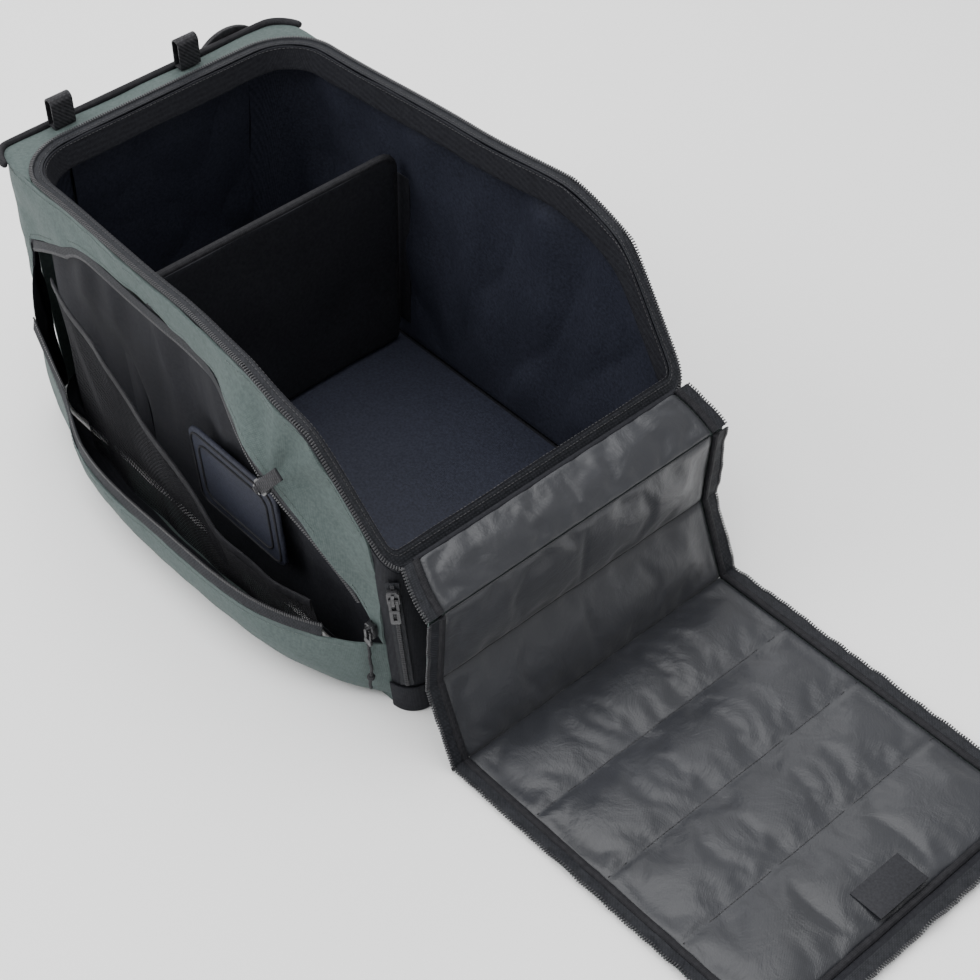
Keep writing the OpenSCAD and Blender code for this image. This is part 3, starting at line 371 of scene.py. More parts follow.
def done(o, finish, body, stands_for=(), smooth=40):
    o.data.materials.clear()
    o.data.materials.append(finish)
    if o.type == "MESH":
        pick(o)
        bpy.ops.object.shade_smooth_by_angle(angle=math.radians(smooth))
    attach(o, body)
    if stands_for:
        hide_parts(*stands_for)
    return o


def swell(p, size, seed=0.0):
    return noise.noise(Vector((p[0] / size + seed, p[1] / size - seed, p[2] / size + 2 * seed)))


print("copies are merged and lose their old maps")


# %% Shells, hard pieces and padded ones
def folded(o, folds):
    if folds:
        co = places(o)
        set_places(o, co + np.array([folds(p) for p in co]))


def shell(node, name, levels, folds=None, edge=0.0006, crease=True):
    o = copy_of(node, name)
    all_in_edit(o)
    bpy.ops.mesh.tris_convert_to_quads(face_threshold=math.radians(70),
                                       shape_threshold=math.radians(80))
    if crease:
        bpy.ops.mesh.select_mode(type="EDGE")
        bpy.ops.mesh.select_all(action="DESELECT")
        bpy.ops.mesh.edges_select_sharp(sharpness=math.radians(50))
        bpy.ops.transform.edge_crease(value=1)
        bpy.ops.mesh.select_mode(type="VERT")
    bpy.ops.object.mode_set(mode="OBJECT")
    modify(o, "SUBSURF", levels=levels, render_levels=levels)
    folded(o, folds)
    if edge:
        modify(o, "BEVEL", width=edge, segments=2, limit_method="ANGLE",
               angle_limit=math.radians(50))
    return o


def hard(node, name, width=0.0004):
    o = copy_of(node, name)
    modify(o, "BEVEL", width=width, segments=2, limit_method="ANGLE", angle_limit=math.radians(35))
    return o


def soft(node, name, voxel, rounds=6, folds=None):
    o = copy_of(node, name)
    modify(o, "REMESH", mode="VOXEL", voxel_size=voxel)
    modify(o, "SMOOTH", factor=0.5, iterations=rounds)
    folded(o, folds)
    return o


print("helpers ready for", len(nodes), "pieces of the part")


# %% [markdown]
# ## Line of the rim
# The rim is the edge that the lid's zip runs along. Several pieces follow it, such as the tape,
# the teeth and the seams, so it is worked out once, in millimetres, from the same rules that shape
# the part: its height is the underside of the closed lid.

# %% Line of the rim
HALF_L, BOOT_HALF, NEAR_R = 292.0, 179.0, 22.0
FAR_START, FAR_CORNER_L, FAR_CORNER_W, FAR_FILL = -207, 85.0, 65.0, 26
WIDEST_AT = 157.68
LID_CHAIN = ((50, 128), (88, 128), (88, 163))
LID_UNDER = 9.5


def ease(t):
    t = max(0.0, min(1.0, t))
    return t * t * (3 - 2 * t)


def chain_closed(k):
    x, z = 294.5, 199.0
    for length, a in LID_CHAIN[:k]:
        x, z = x + length * math.cos(math.radians(a)), z + length * math.sin(math.radians(a))
    return x, z


def rim_height(x):
    heights = []
    for k, a in ((1, 128), (2, 163), (3, 181.5)):
        cx, cz = chain_closed(k)
        a = math.radians(a)
        heights.append(cz + (x - cx) * math.tan(a) - LID_UNDER / abs(math.cos(a)))
    return min(heights)


def rim_half(x):
    if x > WIDEST_AT:
        return (382 + (358 - 382) * ease((x - WIDEST_AT) / (HALF_L - WIDEST_AT))) / 2
    if x > 0:
        return (360 + (382 - 360) * ease(x / WIDEST_AT)) / 2
    return (360 + (344 - 360) * ease(x / FAR_START)) / 2


def rim_line(inside, step=2.0):
    line = [(HALF_L - inside, 0)]
    for a in np.radians(np.linspace(0, 90, 12)):
        line.append((HALF_L - NEAR_R + (NEAR_R - inside) * math.cos(a),
                     -(BOOT_HALF - NEAR_R + (NEAR_R - inside) * math.sin(a))))
    for x in np.arange(268, -206, -6.0):
        line.append((x, -(rim_half(x) - inside)))
    far_half = rim_half(FAR_START)
    for a in np.radians(np.linspace(0, 90, 24)):
        line.append((FAR_START - (FAR_CORNER_L - FAR_FILL - inside) * math.sin(a),
                     -(far_half - FAR_CORNER_W + (FAR_CORNER_W - inside) * math.cos(a))))
    line.append((line[-1][0], 0))
    line = line + [(x, -y) for x, y in line[-2:0:-1]]
    line = np.array([(x, y, rim_height(x)) for x, y in line])
    gaps = np.r_[0, np.cumsum(np.linalg.norm(np.diff(np.r_[line, line[:1]], axis=0), axis=1))]
    at = np.arange(0, gaps[-1], step)
    closed = np.r_[line, line[:1]]
    return np.stack([np.interp(at, gaps, closed[:, i]) for i in range(3)], 1)


outer_rim = rim_line(0)
print("rim length", round(len(outer_rim) * 2 / 1000, 3), "m")

# %% [markdown]
# ## Outer cloth
# The green cloth is light and padded, so it makes soft shallow folds. Near the upper slider the
# zip pulls it, and its folds run towards the slider. Towards the boot end it is bunched in slanting
# folds, and elsewhere it only swells a little. Its inner face, which shows in the open pocket, is
# black, so those faces take a second finish.

# %% Outer cloth
slider_at = np.array([0.172, -0.209, 0.237])


def gathered(p):
    d = p - slider_at
    r = math.hypot(d[0], d[2]) + 1e-6
    a = math.atan2(d[2], d[0])
    pull = math.exp(-((r - 0.035) / 0.045) ** 2) * max(0.0, d[2] * 14 + 0.35)
    return pull * math.cos(7 * a + 1.2) * 0.0032


def bunched(p):
    near = ease((p[0] - 0.10) / 0.08) * ease((p[2] - 0.06) / 0.05)
    along, across_fold = p[2] * 0.75 - p[0] * 0.66, p[0] * 0.75 + p[2] * 0.66
    return 0.0042 * near * noise.noise(Vector((across_fold / 0.021, along / 0.11, 5.5)))


def side_folds(side, amount=1.0):
    def folds(p):
        s = (0.0042 * swell((p[0], 0.4 * p[1], 1.5 * p[2]), 0.075, 3.1) +
             0.0016 * swell((p[0] + 0.4 * p[2], 0.4 * p[1], p[2] * 1.2), 0.026, 9.7)) * amount
        if side < 0:
            s += gathered(p) + bunched(p)
        return np.array([0, side * s, 0])
    return folds


BAG_HEART = Vector((-0.02, 0, 0))


def second_face(o, finish, inward):
    o.data.materials.append(finish)
    for face in o.data.polygons:
        towards = BAG_HEART + Vector((0, 0, face.center.z)) - face.center
        if (face.normal.dot(towards) > 0) == inward and abs(face.normal.z) < 0.98:
            face.material_index = 1


print("bag heart at", tuple(BAG_HEART))


# %% Sides, ends and shelf
def cloth_piece(node, name, levels, folds, finish, edge=0.0006):
    return done(shell(node, name, levels, folds, edge), finish, "bag", [node])


strip_left = cloth_piece("side_strip_left", "green_strip_left", 3, side_folds(-1), green_side)
strip_right = cloth_piece("side_strip_right", "green_strip_right", 3, side_folds(1, 0.8),
                          green_side)
panel_left = cloth_piece("pocket_panel_left", "open_pocket_panel", 3, side_folds(-1, 0.6),
                         green_side)
panel_right = cloth_piece("pocket_panel_right", "closed_pocket_panel", 3, side_folds(1, 1.1),
                          green_side)
for o in (panel_left, strip_left, strip_right, panel_right):
    second_face(o, black_side, True)
cloth_piece("far_end_wall", "green_far_end", 3,
            lambda p: np.array([-0.004 * swell(p, 0.09, 5.0), 0, 0]), green_end)
cloth_piece("far_fascia", "green_far_shelf", 3,
            lambda p: np.array([0, 0, 0.0022 * swell(p, 0.05, 2.0) - 0.0012]), green_top)
cloth_piece("near_end_wall", "black_boot_end", 3,
            lambda p: np.array([0.003 * swell(p, 0.08, 8.0), 0, 0]), black_end)
print("outer cloth", sum(len(o.data.polygons) for o in (strip_left, strip_right, panel_left)))

# %% [markdown]
# ## Lining
# The lining is loose and padded. It bulges into the bag between its seams and wrinkles along the
# rim, where it is gathered under the collar, so its folds run mostly up and down.

# %% Lining
def slack(side, amount):
    def folds(p):
        s = 0.010 * abs(swell((p[0], p[1] * 0.2, p[2] * 0.55), 0.085, 4.4)) + \
            0.0045 * swell((p[0], p[1] * 0.2, p[2] * 0.35), 0.034, 1.3)
        rise = max(0.0, min(1.0, (p[2] - 0.02) / 0.05)) * max(0.0, min(1.0, (0.325 - p[2]) / 0.05))
        return np.array([0, -side * s * amount * rise, 0])
    return folds


lining_left = cloth_piece("side_lining_left", "left_lining", 3, slack(-1, 0.9), navy_side)
second_face(lining_left, black_side, False)
cloth_piece("side_lining_right", "right_lining", 3, slack(1, 1.2), navy_side)
cloth_piece("far_end_lining", "far_lining", 4,
            lambda p: np.array([0.006 * abs(swell(p, 0.08, 2.2)), 0, 0]), navy_end)
cloth_piece("near_end_lining", "boot_end_lining", 3,
            lambda p: np.array([-0.004 * abs(swell(p, 0.07, 6.6)), 0, 0]), navy_end)
cloth_piece("floor_lining", "floor_lining_cloth", 1, None, navy_floor, 0.0004)
collar = cloth_piece("collar_band", "rim_collar", 3,
                     lambda p: np.array([0, 0, 0.0012 * swell(p, 0.03, 7.0)]), black_top, 0.0004)
print("lining made")

# %% [markdown]
# ## Zips
# A zip is two tapes with a row of moulded teeth each. One tooth is modelled and then copied along
# the edge of its tape at an even pitch, turned to follow it. The tapes have a slanting twill.

# %% One tooth, and rows of teeth
bpy.ops.object.select_all(action="DESELECT")
bpy.ops.mesh.primitive_cube_add(size=1)
tooth = bpy.context.object
tooth.name = "tooth_pattern"
TOOTH = (0.0015, 0.0038, 0.0019)
set_places(tooth, places(tooth) * TOOTH)
all_in_edit(tooth)
bpy.ops.mesh.bevel(offset=0.0004, segments=1)
bpy.ops.object.mode_set(mode="OBJECT")
tooth_points = places(tooth)
tooth_faces = [list(p.vertices) for p in tooth.data.polygons]
bpy.data.objects.remove(tooth)
print("faces in a tooth", len(tooth_faces))


def spaced(line, pitch, closed=False):
    line = np.asarray(line, float)
    if closed:
        line = np.r_[line, line[:1]]
    run = np.r_[0, np.cumsum(np.linalg.norm(np.diff(line, axis=0), axis=1))]
    at = np.arange(pitch / 2, run[-1], pitch)
    return np.stack([np.interp(at, run, line[:, i]) for i in range(3)], 1)


def along_row(name, line, outs, pitch, pattern, faces, closed=False):
    at = spaced(line, pitch, closed)
    ahead = np.roll(at, -1, 0) - np.roll(at, 1, 0)
    if not closed:
        ahead[0], ahead[-1] = at[1] - at[0], at[-1] - at[-2]
    ahead /= np.linalg.norm(ahead, axis=1)[:, None]
    away = np.array([outs(p) for p in at])
    away -= (away * ahead).sum(1)[:, None] * ahead
    away /= np.linalg.norm(away, axis=1)[:, None]
    top = np.cross(ahead, away)
    points = (at[:, None] + pattern[None, :, :1] * ahead[:, None] +
              pattern[None, :, 1:2] * away[:, None] + pattern[None, :, 2:] * top[:, None])
    n = len(pattern)
    mesh = bpy.data.meshes.new(name)
    mesh.from_pydata(points.reshape(-1, 3).tolist(), [],
                     [[v + k * n for v in f] for k in range(len(at)) for f in faces])
    o = bpy.data.objects.new(name, mesh)
    bpy.context.scene.collection.objects.link(o)
    return outward(o)


def teeth(name, line, outs, body, pitch=0.0026, closed=False):
    o = along_row(name, line, outs, pitch, tooth_points, tooth_faces, closed)
    return done(o, tooth_plastic, body, smooth=20)


# %% Rim tape and its teeth
rim_tape = cloth_piece("rim_zip_tape", "rim_tape", 2, None, tape_top, 0.0003)
rim_row = rim_line(1.9) / 1000 + np.array([0, 0, 0.0006])


def from_middle(p):
    return np.array([p[0] * 0.35, p[1], 0.0])


row_made = teeth("rim_teeth", rim_row, from_middle, "bag", 0.0027, closed=True)
print("teeth round the rim", len(row_made.data.polygons) // len(tooth_faces))

# %% [markdown]
# ## Mouth of the side pocket
# The lips of the open pocket and the rows of teeth on them follow the same curves as the part's
# own panels, so the rules for a point on the side are repeated here in millimetres.

# %% Points on the side wall
def mix(a, b, t):
    return a + (b - a) * t


RUN_N, MOUTH_END, MOUTH_FALL = 20, 21, 4
CORNER_STEP, CORNER_FILL = 15, 40
CORNER_X, CORNER_Y = 45, 25
BASE_HALF = 165
LIP_HEIGHT, FAR_MEET, BOOT_MEET = 280, 190, 85
LOW_LIP, LOW_LIP_DROP = 85, 30


def run_x(i):
    return mix(270.0, -207.0, min(i, RUN_N) / RUN_N)


def turn_at(i):
    return math.radians(0 if i <= RUN_N else CORNER_STEP * (i - RUN_N))


def out_of(i):
    return np.array([-math.sin(turn_at(i)), -math.cos(turn_at(i)), 0.0])


def on_side(i, z, depth=0.0):
    a = turn_at(i)
    x = run_x(i) - CORNER_FILL * max(0.0, min(1.0, i - RUN_N + 1))
    x -= (CORNER_X - depth) * math.sin(a)
    in_y = CORNER_Y - (CORNER_Y - depth) * math.cos(a)
    t = z / rim_height(x)
    return np.array([x, mix(-(BASE_HALF - in_y), -(rim_half(run_x(i)) - in_y), t), z])


def upper_lip(i):
    if i >= MOUTH_END - MOUTH_FALL:
        return mix(LIP_HEIGHT, FAR_MEET, min(1, (i - MOUTH_END) / MOUTH_FALL + 1) ** 2.2)
    return mix(LIP_HEIGHT, BOOT_MEET, max(0, (run_x(i) + 80) / 350) ** 4.6)


def lip_stand(i):
    u = (run_x(i) - 165) / 115
    return 0.0 if i > RUN_N else 24 * max(0.0, 1 - u * u) ** 2


def lower_lip(i):
    s = min(1, i / MOUTH_END)
    rise = FAR_MEET - LOW_LIP + LOW_LIP_DROP
    return LOW_LIP - LOW_LIP_DROP * s + rise * max(0, (s - 0.82) / 0.18) ** 2


GAPE, RIGHT_GAPE = 66, 0.08 * 22


def gape(i):
    return GAPE * (1 - abs(2 * min(1, i / MOUTH_END) - 1) ** 3.5)


def lower_edge(i):
    return on_side(i, lower_lip(i) - 0.3) + gape(i) * out_of(i)


print("mouth from", run_x(0), "to", round(on_side(MOUTH_END, FAR_MEET)[0]), "mm")

# %% Tapes and teeth of the side pockets
SIDE_PITCH = 0.0024
UP = np.array([0, 0, 1.0])


upper_row = [on_side(i, upper_lip(i) - 13.0, 1.2) + lip_stand(i) * out_of(i)
             for i in np.arange(1, 20.01, 0.1)]
lower_row = []
for i in np.arange(2, 20.01, 0.1):
    top = min(lower_lip(i) + 13, upper_lip(i) - 17.3)
    e = lower_edge(i)
    lower_row.append(e - 3 * out_of(i) + np.array([0, 0, max(2, top - e[2])]))
for node, name in (("pocket_zip_upper_left", "upper_pocket_tape"),
                   ("pocket_zip_lower_left", "lower_pocket_tape"),
                   ("pocket_zip_right", "right_pocket_tape")):
    cloth_piece(node, name, 2, None, tape_side, 0.0003)
right_row = [(on_side(i, upper_lip(i), -2.2) + RIGHT_GAPE / GAPE * gape(i) * out_of(i)) * (1, -1, 1)
             for i in np.arange(1.2, 20.8, 0.1)]
for name, row, away in (("upper_pocket_teeth", upper_row, -UP),
                        ("lower_pocket_teeth", lower_row, UP),
                        ("right_pocket_teeth", right_row, UP + (0.3, 0, 0))):
    teeth(name, np.array(row) / 1000, lambda p: away, "bag", SIDE_PITCH)
print("side pocket rows", len(upper_row), len(lower_row), len(right_row), "points")

# %% Corner zips
LEAN = math.radians(4.19183)
edge_out = np.array([math.sqrt(.5), -math.sqrt(.5) * math.cos(LEAN),
                     -math.sqrt(.5) * math.sin(LEAN)])
edge_up = np.array([0, -math.sin(LEAN), math.cos(LEAN)])
edge_foot = np.array([0.285556, -0.158556, 0.001]) + 0.0029 * edge_out
edge_row = np.array([edge_foot + up / 1000 * edge_up for up in range(39, 178, 2)])
corner_tape = hard("corner_zips", "corner_zip_tapes", 0.0003)
done(corner_tape, tape_side, "bag", ["corner_zips"])
for side, name in ((1, "corner_teeth_left"), (-1, "corner_teeth_right")):
    teeth(name, edge_row * (1, side, 1), lambda p: np.array([-1.0, -side, 0]), "bag")
cloth_piece("base_corners", "base_corner_caps", 2, None, black_side, 0.0004)
print("corner zips made")

# %% [markdown]
# ## Stitching
# A seam is sewn with a row of stitches that lie on the cloth. One stitch is a short rounded bar.
# Copies of it are set along a line, and each is dropped on to the surface of the finished piece,
# so that the row follows every fold.

# %% Stitches
bpy.ops.object.select_all(action="DESELECT")
bpy.ops.mesh.primitive_cylinder_add(vertices=6, radius=0.00042, depth=0.0026,
                                    rotation=(0, math.pi / 2, 0))
stitch = bpy.context.object
bpy.ops.object.transform_apply(location=False, rotation=True, scale=False)
stitch_points = places(stitch)
stitch_faces = [list(p.vertices) for p in stitch.data.polygons]
bpy.data.objects.remove(stitch)
print("faces in a stitch", len(stitch_faces))


def surface_of(o):
    mesh = o.data
    return BVHTree.FromPolygons([tuple(v.co) for v in mesh.vertices],
                                [tuple(p.vertices) for p in mesh.polygons])


NEAREST, LIFT = 0.02, 0.00018


def sewn(name, line, surface, body, thread, pitch=0.0042, closed=False):
    tree = surface_of(surface)
    on_cloth = []
    for p in spaced(line, 0.002, closed):
        hit, normal, _, gap = tree.find_nearest(Vector(p))
        if hit is not None and gap < NEAREST:
            on_cloth.append(np.array(hit) + LIFT * np.array(normal))
    o = along_row(name, np.array(on_cloth), lambda p: np.array([0.1, 0.2, 1.0]), pitch,
                  stitch_points, stitch_faces, closed)
    return done(o, thread, body, smooth=60)


def rim_above(i):
    return rim_height(on_side(i, LIP_HEIGHT)[0])


def fade(i, z):
    k = (z - upper_lip(i)) / (rim_above(i) - 3 - upper_lip(i))
    return max(0.0, 1 - max(0.0, k)) ** 1.5


def side_line(height, first, side):
    line = []
    for i in np.arange(first, 25.5, 0.1):
        z = height(i)
        stand = lip_stand(i) * fade(i, z) if side > 0 else 0
        line.append((on_side(i, z) + stand * out_of(i)) * (1, side, 1))
    return np.array(line) / 1000


# %% Rows of stitches
for name, strip_piece, side, above_lip in (("left", strip_left, 1, 5),
                                           ("right", strip_right, -1, 6)):
    sewn("stitch_lip_" + name, side_line(lambda i: upper_lip(i) + above_lip, 0.6, side),
         strip_piece, "bag", thread_green)
    sewn("stitch_rim_" + name, side_line(lambda i: rim_above(i) - 9, 0.4, side), strip_piece,
         "bag", thread_green)
panel_row = np.array([lower_edge(i) - 6 * UP for i in np.arange(1, 20.8, 0.1)]) / 1000
sewn("stitch_panel_left", panel_row, panel_left, "bag", thread_green)
sewn("stitch_collar", rim_line(15) / 1000 - 0.004 * UP, collar, "bag", thread_black, closed=True)
sewn("stitch_tape", rim_line(9.5) / 1000, rim_tape, "bag", thread_black, closed=True)
print("seven rows of stitches")

# %% [markdown]
# ## Inside the side pocket
# A net pocket stands inside the open panel. Its cells are real holes: a grid is bent to the
# pocket's curve, and the wireframe modifier turns its edges into threads. A bound edge holds its
# top. Behind it a slim padded sleeve is sewn to the wall, with piping round it.

# %% Net pocket and sleeve
net_top = ((-260, 250), (-100, 215), (0, 150), (70, 100), (150, 96), (250, 110))


def net_point(u, v):
    i = 3 + 16 * u
    top = float(np.interp(run_x(i), [p[0] for p in net_top], [p[1] for p in net_top]))
    slack_net = 3 * swell((u * 500, v * 150, 0), 60, 2) * out_of(10)
    return on_side(i, mix(10, top, v)) + gape(i) * mix(0.34, 0.5, v) * out_of(i) + slack_net


def grid(name, columns, rows, point=None):
    bpy.ops.object.select_all(action="DESELECT")
    bpy.ops.mesh.primitive_grid_add(x_subdivisions=columns, y_subdivisions=rows, size=1)
    o = bpy.context.object
    o.name = name
    if point:
        set_places(o, np.array([point(c[0] + 0.5, c[1] + 0.5) for c in places(o)]) / 1000)
    return o


net = grid("net_pocket", 118, 32, net_point)
modify(net, "WIREFRAME", thickness=0.0009, use_replace=True, use_even_offset=False)
done(net, cord_braid, "bag", ["mesh_pocket_left"], smooth=60)
net_edge = grid("net_pocket_edge", 110, 3, lambda u, v: net_point(u, 1) + (10 * v - 9) * UP)
modify(net_edge, "SOLIDIFY", thickness=0.002, offset=0)
modify(net_edge, "BEVEL", width=0.0006, segments=2, limit_method="ANGLE")
done(net_edge, binding_weave, "bag")
sleeve = soft("sleeve_pocket_left", "slim_sleeve", 0.0016, 10)
done(sleeve, navy_side, "bag", ["sleeve_pocket_left"])
print("net threads", len(net.data.polygons), "faces")


# %% Piping round the sleeve
def tube(name, points, radius, finish, body, closed=False):
    curve_piece = run_of_cord(name, [Vector(p) for p in points], radius)
    curve_piece.data.splines[0].use_cyclic_u = closed
    pick(curve_piece)
    bpy.ops.object.convert(target="MESH")
    return done(bpy.context.object, finish, body, smooth=60)


def rounded_loop(low, high, r, steps=8):
    loop = []
    for cx, cz, start in ((high[0] - r, high[1] - r, 0), (low[0] + r, high[1] - r, 90),
                          (low[0] + r, low[1] + r, 180), (high[0] - r, low[1] + r, 270)):
        for k in range(steps + 1):
            a = math.radians(start + 90 * k / steps)
            loop.append((cx + r * math.cos(a), cz + r * math.sin(a)))
    return loop


sleeve_tree = surface_of(sleeve)
for k, inset in enumerate((5, 15)):
    loop = []
    for x, z in rounded_loop((10 + inset, 80 + inset), (140 - inset, 180 - inset), 12):
        start = Vector((x / 1000, -0.24, z / 1000))
        hit = sleeve_tree.ray_cast(start, Vector((0, 1, 0)))[0]
        loop.append(hit + Vector((0, -0.0004, 0)) if hit else start + Vector((0, 0.063, 0)))
    tube("sleeve_piping_%d" % (k + 1), loop, 0.0011, binding_weave, "bag", closed=True)
print("two rows of piping on the sleeve")

# %% [markdown]
# ## Far end, divider and back
# Webbing, buckles and bindings keep the part's shapes with their edges rounded. The padded
# divider, pads and straps are remeshed so that their corners round off as foam under cloth does.
# The back cloth is let out a little, so that it closes the foot of the open pocket at its corners.

# %% Far end
for node, name, edge, finish in (
        ("webbing_loops", "far_webbing_loops", 0.0005, ribbed),
        ("strap_webbing", "shoulder_webbing", 0.0005, ribbed),
        ("grab_handle", "webbing_grab_handle", 0.0012, ribbed),
        ("ladderlocks", "ladderlock_buckles", 0.0006, plastic),
        ("divider_anchors", "divider_side_anchors", 0.0005, black_side)):
    done(hard(node, name, edge), finish, body_of[node], [node])
edge_binding = shell("far_binding", "far_edge_binding", 2, None, 0, crease=False)
modify(edge_binding, "DISPLACE", strength=0.0010, mid_level=0)
done(edge_binding, binding_weave, "bag", ["far_binding"])
done(soft("lid_hinge_fold", "lid_fold_cloth", 0.0015, 4), black_side, "bag", ["lid_hinge_fold"])
print("edge binding", len(edge_binding.data.polygons), "faces")

# %% Back cloth
LET_OUT = (1.016, 1.028, 1)
back_cloth = hard("back_panel", "back_panel_cloth", 0.002)
set_places(back_cloth, places(back_cloth) * LET_OUT)
done(back_cloth, black_top, "bag", ["back_panel"])
print("far end and back cloth made")

# %% Divider, pads and straps
DIVIDER_X = -0.1


def padding(p):
    return np.array([math.copysign(0.0022, p[0] - DIVIDER_X) * (0.6 + swell(p, 0.06, 3.3)), 0, 0])


divider = soft("divider", "padded_divider", 0.003, 4, padding)
done(divider, black_end, "divider", ["divider"])
half_low, half_top = 0.1502, 0.1562
climb = [(half_low, 0.032), (half_top, 0.236), (half_top - 0.004, 0.2445),
         (half_top - 0.012, 0.2492)]
bound = [(DIVIDER_X, -y, z) for y, z in climb] + [(DIVIDER_X, y, z) for y, z in climb[::-1]]
tube("divider_binding", spaced(bound, 0.006), 0.0046, binding_weave, "divider")
for node, name, fill in (("back_pads", "foam_back_pads", 0.7),
                         ("shoulder_straps", "foam_shoulder_straps", 0.6)):
    pad = soft(node, name, 0.003, 8)
    done(pad, foam_mesh, "bag", [node])
print("divider, pads and straps made")

# %% [markdown]
# ## Sliders and pulls
# These keep the part's exact shapes, because they move and bear load. Their edges are rounded a
# little, as cast parts are, so that they catch the light.

# %% Sliders and pulls
for node in ("main_slider_left", "main_pull_left", "main_slider_right", "main_pull_right",
             "pocket_slider_upper_left", "pocket_slider_lower_left", "pocket_pull_lower_left",
             "pocket_slider_right", "pocket_pull_right"):
    done(hard(node, node + "_cast", 0.0004), painted, body_of[node], [node], smooth=30)
tab = hard("pocket_pull_upper_left", "webbing_pull_tab", 0.0006)
done(tab, ribbed, "pocket_pull_upper_left", ["pocket_pull_upper_left"])
print("sliders and pulls made")

# %% Knot on the cord
KNOT_STEP = 11
bpy.ops.object.select_all(action="DESELECT")
knot_at = cord_points[KNOT_STEP]
bpy.ops.mesh.primitive_torus_add(location=knot_at, major_radius=0.0021, minor_radius=0.0018,
                                 major_segments=24, minor_segments=12, rotation=(0.4, 0.2, 0))
knot = bpy.context.object
knot.name = "cord_knot"
bpy.ops.object.transform_apply(location=True, rotation=True, scale=True)
done(knot, cord_braid, "pocket_pull_lower_left", smooth=60)
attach(pull_cord, "pocket_pull_lower_left")
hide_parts("pull_cord_left")

# %% [markdown]
# ## The lid, folded back as a mat
# The lid hangs over the boot end and lies on the floor with its quilted inner face up. It folds
# in the seams of its quilting, so it is made in four lengths, each in its own flat frame: u runs
# away from the bag, y across it, and w up from the cloth. A piece is shaped flat and then laid
# in its place.

# %% Frames of the lid's four lengths
FOLDS = ((294.5, 199.0, -33.0), (336.434, 171.768, -94.4), (329.682, 84.0274, -68.7693),
         (361.549, 2.0, 0.0))
REACH = (50.0, 88.0, 88.0, 348.0)
LAST = 3


def laid(o, k):
    set_places(o, np.array([along(k, *(p * 1000)) for p in places(o)]))
    return o


def body_at(k):
    return "lid_length_%d" % (k + 1)


def sides_of(k):
    return (1,) if k == LAST else (1, -1)


def along(k, u, y, w):
    x, z, a = FOLDS[k]
    a = math.radians(a)
    return ((x + u * math.cos(a) - w * math.sin(a)) / 1000, y / 1000,
            (z + u * math.sin(a) + w * math.cos(a)) / 1000)


def round_corner(u, y, half, end, r):
    p, q = (u - end + r) / r, (abs(y) - half + r) / r
    if p <= 0 or q <= 0:
        return u, y
    return (end - r + r * p * math.sqrt(1 - q * q / 2),
            math.copysign(half - r + r * q * math.sqrt(1 - p * p / 2), y))


print("lid lengths", REACH, "mm")

# %% [markdown]
# ## Quilted mat
# Each channel of the mat is two layers of satin with wadding between, sewn down along its seams.
# Thread pulled tight gathers the satin, so folds run out of every seam. A thin closed slab with
# its seams held still is blown up by a cloth simulation, and the cloth is made a little too big
# for its frame, which gives those folds. Pressure lifts it and gravity is left out, because the
# wadding carries the cloth. How far a point may rise is limited afterwards.

# %% Size of the mat
MAT_HALF, MAT_R = 159.6, 40.0
CELLS, ROWS = 16, 58
LAST_SEAM, MAT_END = 261.0, 358.0
SHOULDER = 9.0
UNDER, SEAM_TOP, OPEN_TOP, MAT_TOP = 0.0002, 0.0013, 0.0034, 0.0105
BESIDE_LABEL, UNDER_LABEL = 0.003, 0.0026
label_low, label_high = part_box("label_patch")


def drawn_in(u, k):
    return SHOULDER * (1 - u / REACH[0]) ** 2 if k == 0 else 0.0


def lengthened(u, k):
    if k == LAST and u > LAST_SEAM:
        return LAST_SEAM + (u - LAST_SEAM) * (MAT_END - LAST_SEAM) / (REACH[LAST] - LAST_SEAM)
    return u


def slab(name, k, channels):
    o = grid(name, CELLS * channels, ROWS)
    flat = []
    for x, y, _ in places(o):
        column, row = round((x + 0.5) * CELLS * channels), round((y + 0.5) * ROWS)
        u = lengthened((x + 0.5) * REACH[k], k)
        v = y * 2 * (MAT_HALF - drawn_in(u, k))
        if k == LAST:
            u, v = round_corner(u, v, MAT_HALF, MAT_END, MAT_R)
        sewn_down = column % CELLS == 0 or row in (0, ROWS)
        flat.append((u / 1000, v / 1000, SEAM_TOP if sewn_down else OPEN_TOP))
    set_places(o, np.array(flat))
    held = o.vertex_groups.new(name="held")
    all_in_edit(o)
    bpy.ops.mesh.extrude_region_move(TRANSFORM_OT_translate={"value": (0, 0, -0.0011)})
    outward(o)
    co = places(o)
    under = np.zeros(len(co), bool)
    order = np.lexsort((co[:, 2], np.round(co[:, 1], 6), np.round(co[:, 0], 6)))
    under[order[0::2]] = True
    co[under, 2] = UNDER
    set_places(o, co)
    still = under | (co[:, 2] < 0.002)
    held.add([int(i) for i in np.nonzero(still)[0]], 1.0, "REPLACE")
    return o, still, under


print("label from", [round(c, 3) for c in label_low], "to", [round(c, 3) for c in label_high])


# %% Blowing up the slab
def blown(o, pressure, spare, cap):
    before = places(o)
    m = o.modifiers.new("wadding", "CLOTH")
    s = m.settings
    s.quality = 6
    s.mass = 0.15
    s.tension_stiffness = s.compression_stiffness = 14
    s.shear_stiffness = 5
    s.bending_stiffness = 0.35
    s.use_pressure = True
    s.uniform_pressure_force = pressure
    s.shrink_min = -spare
    s.effector_weights.gravity = 0
    s.vertex_group_mass = "held"
    m.collision_settings.use_collision = False
    for frame_number in range(1, 21):
        bpy.context.scene.frame_set(frame_number)
    pick(o)
    bpy.ops.object.modifier_apply(modifier=m.name)
    bpy.context.scene.frame_set(1)
    move = places(o) - before
    far = np.linalg.norm(move, axis=1)
    move *= np.minimum(1, cap / np.maximum(far, 1e-9))[:, None]
    set_places(o, before + move)
    return float(far.max())


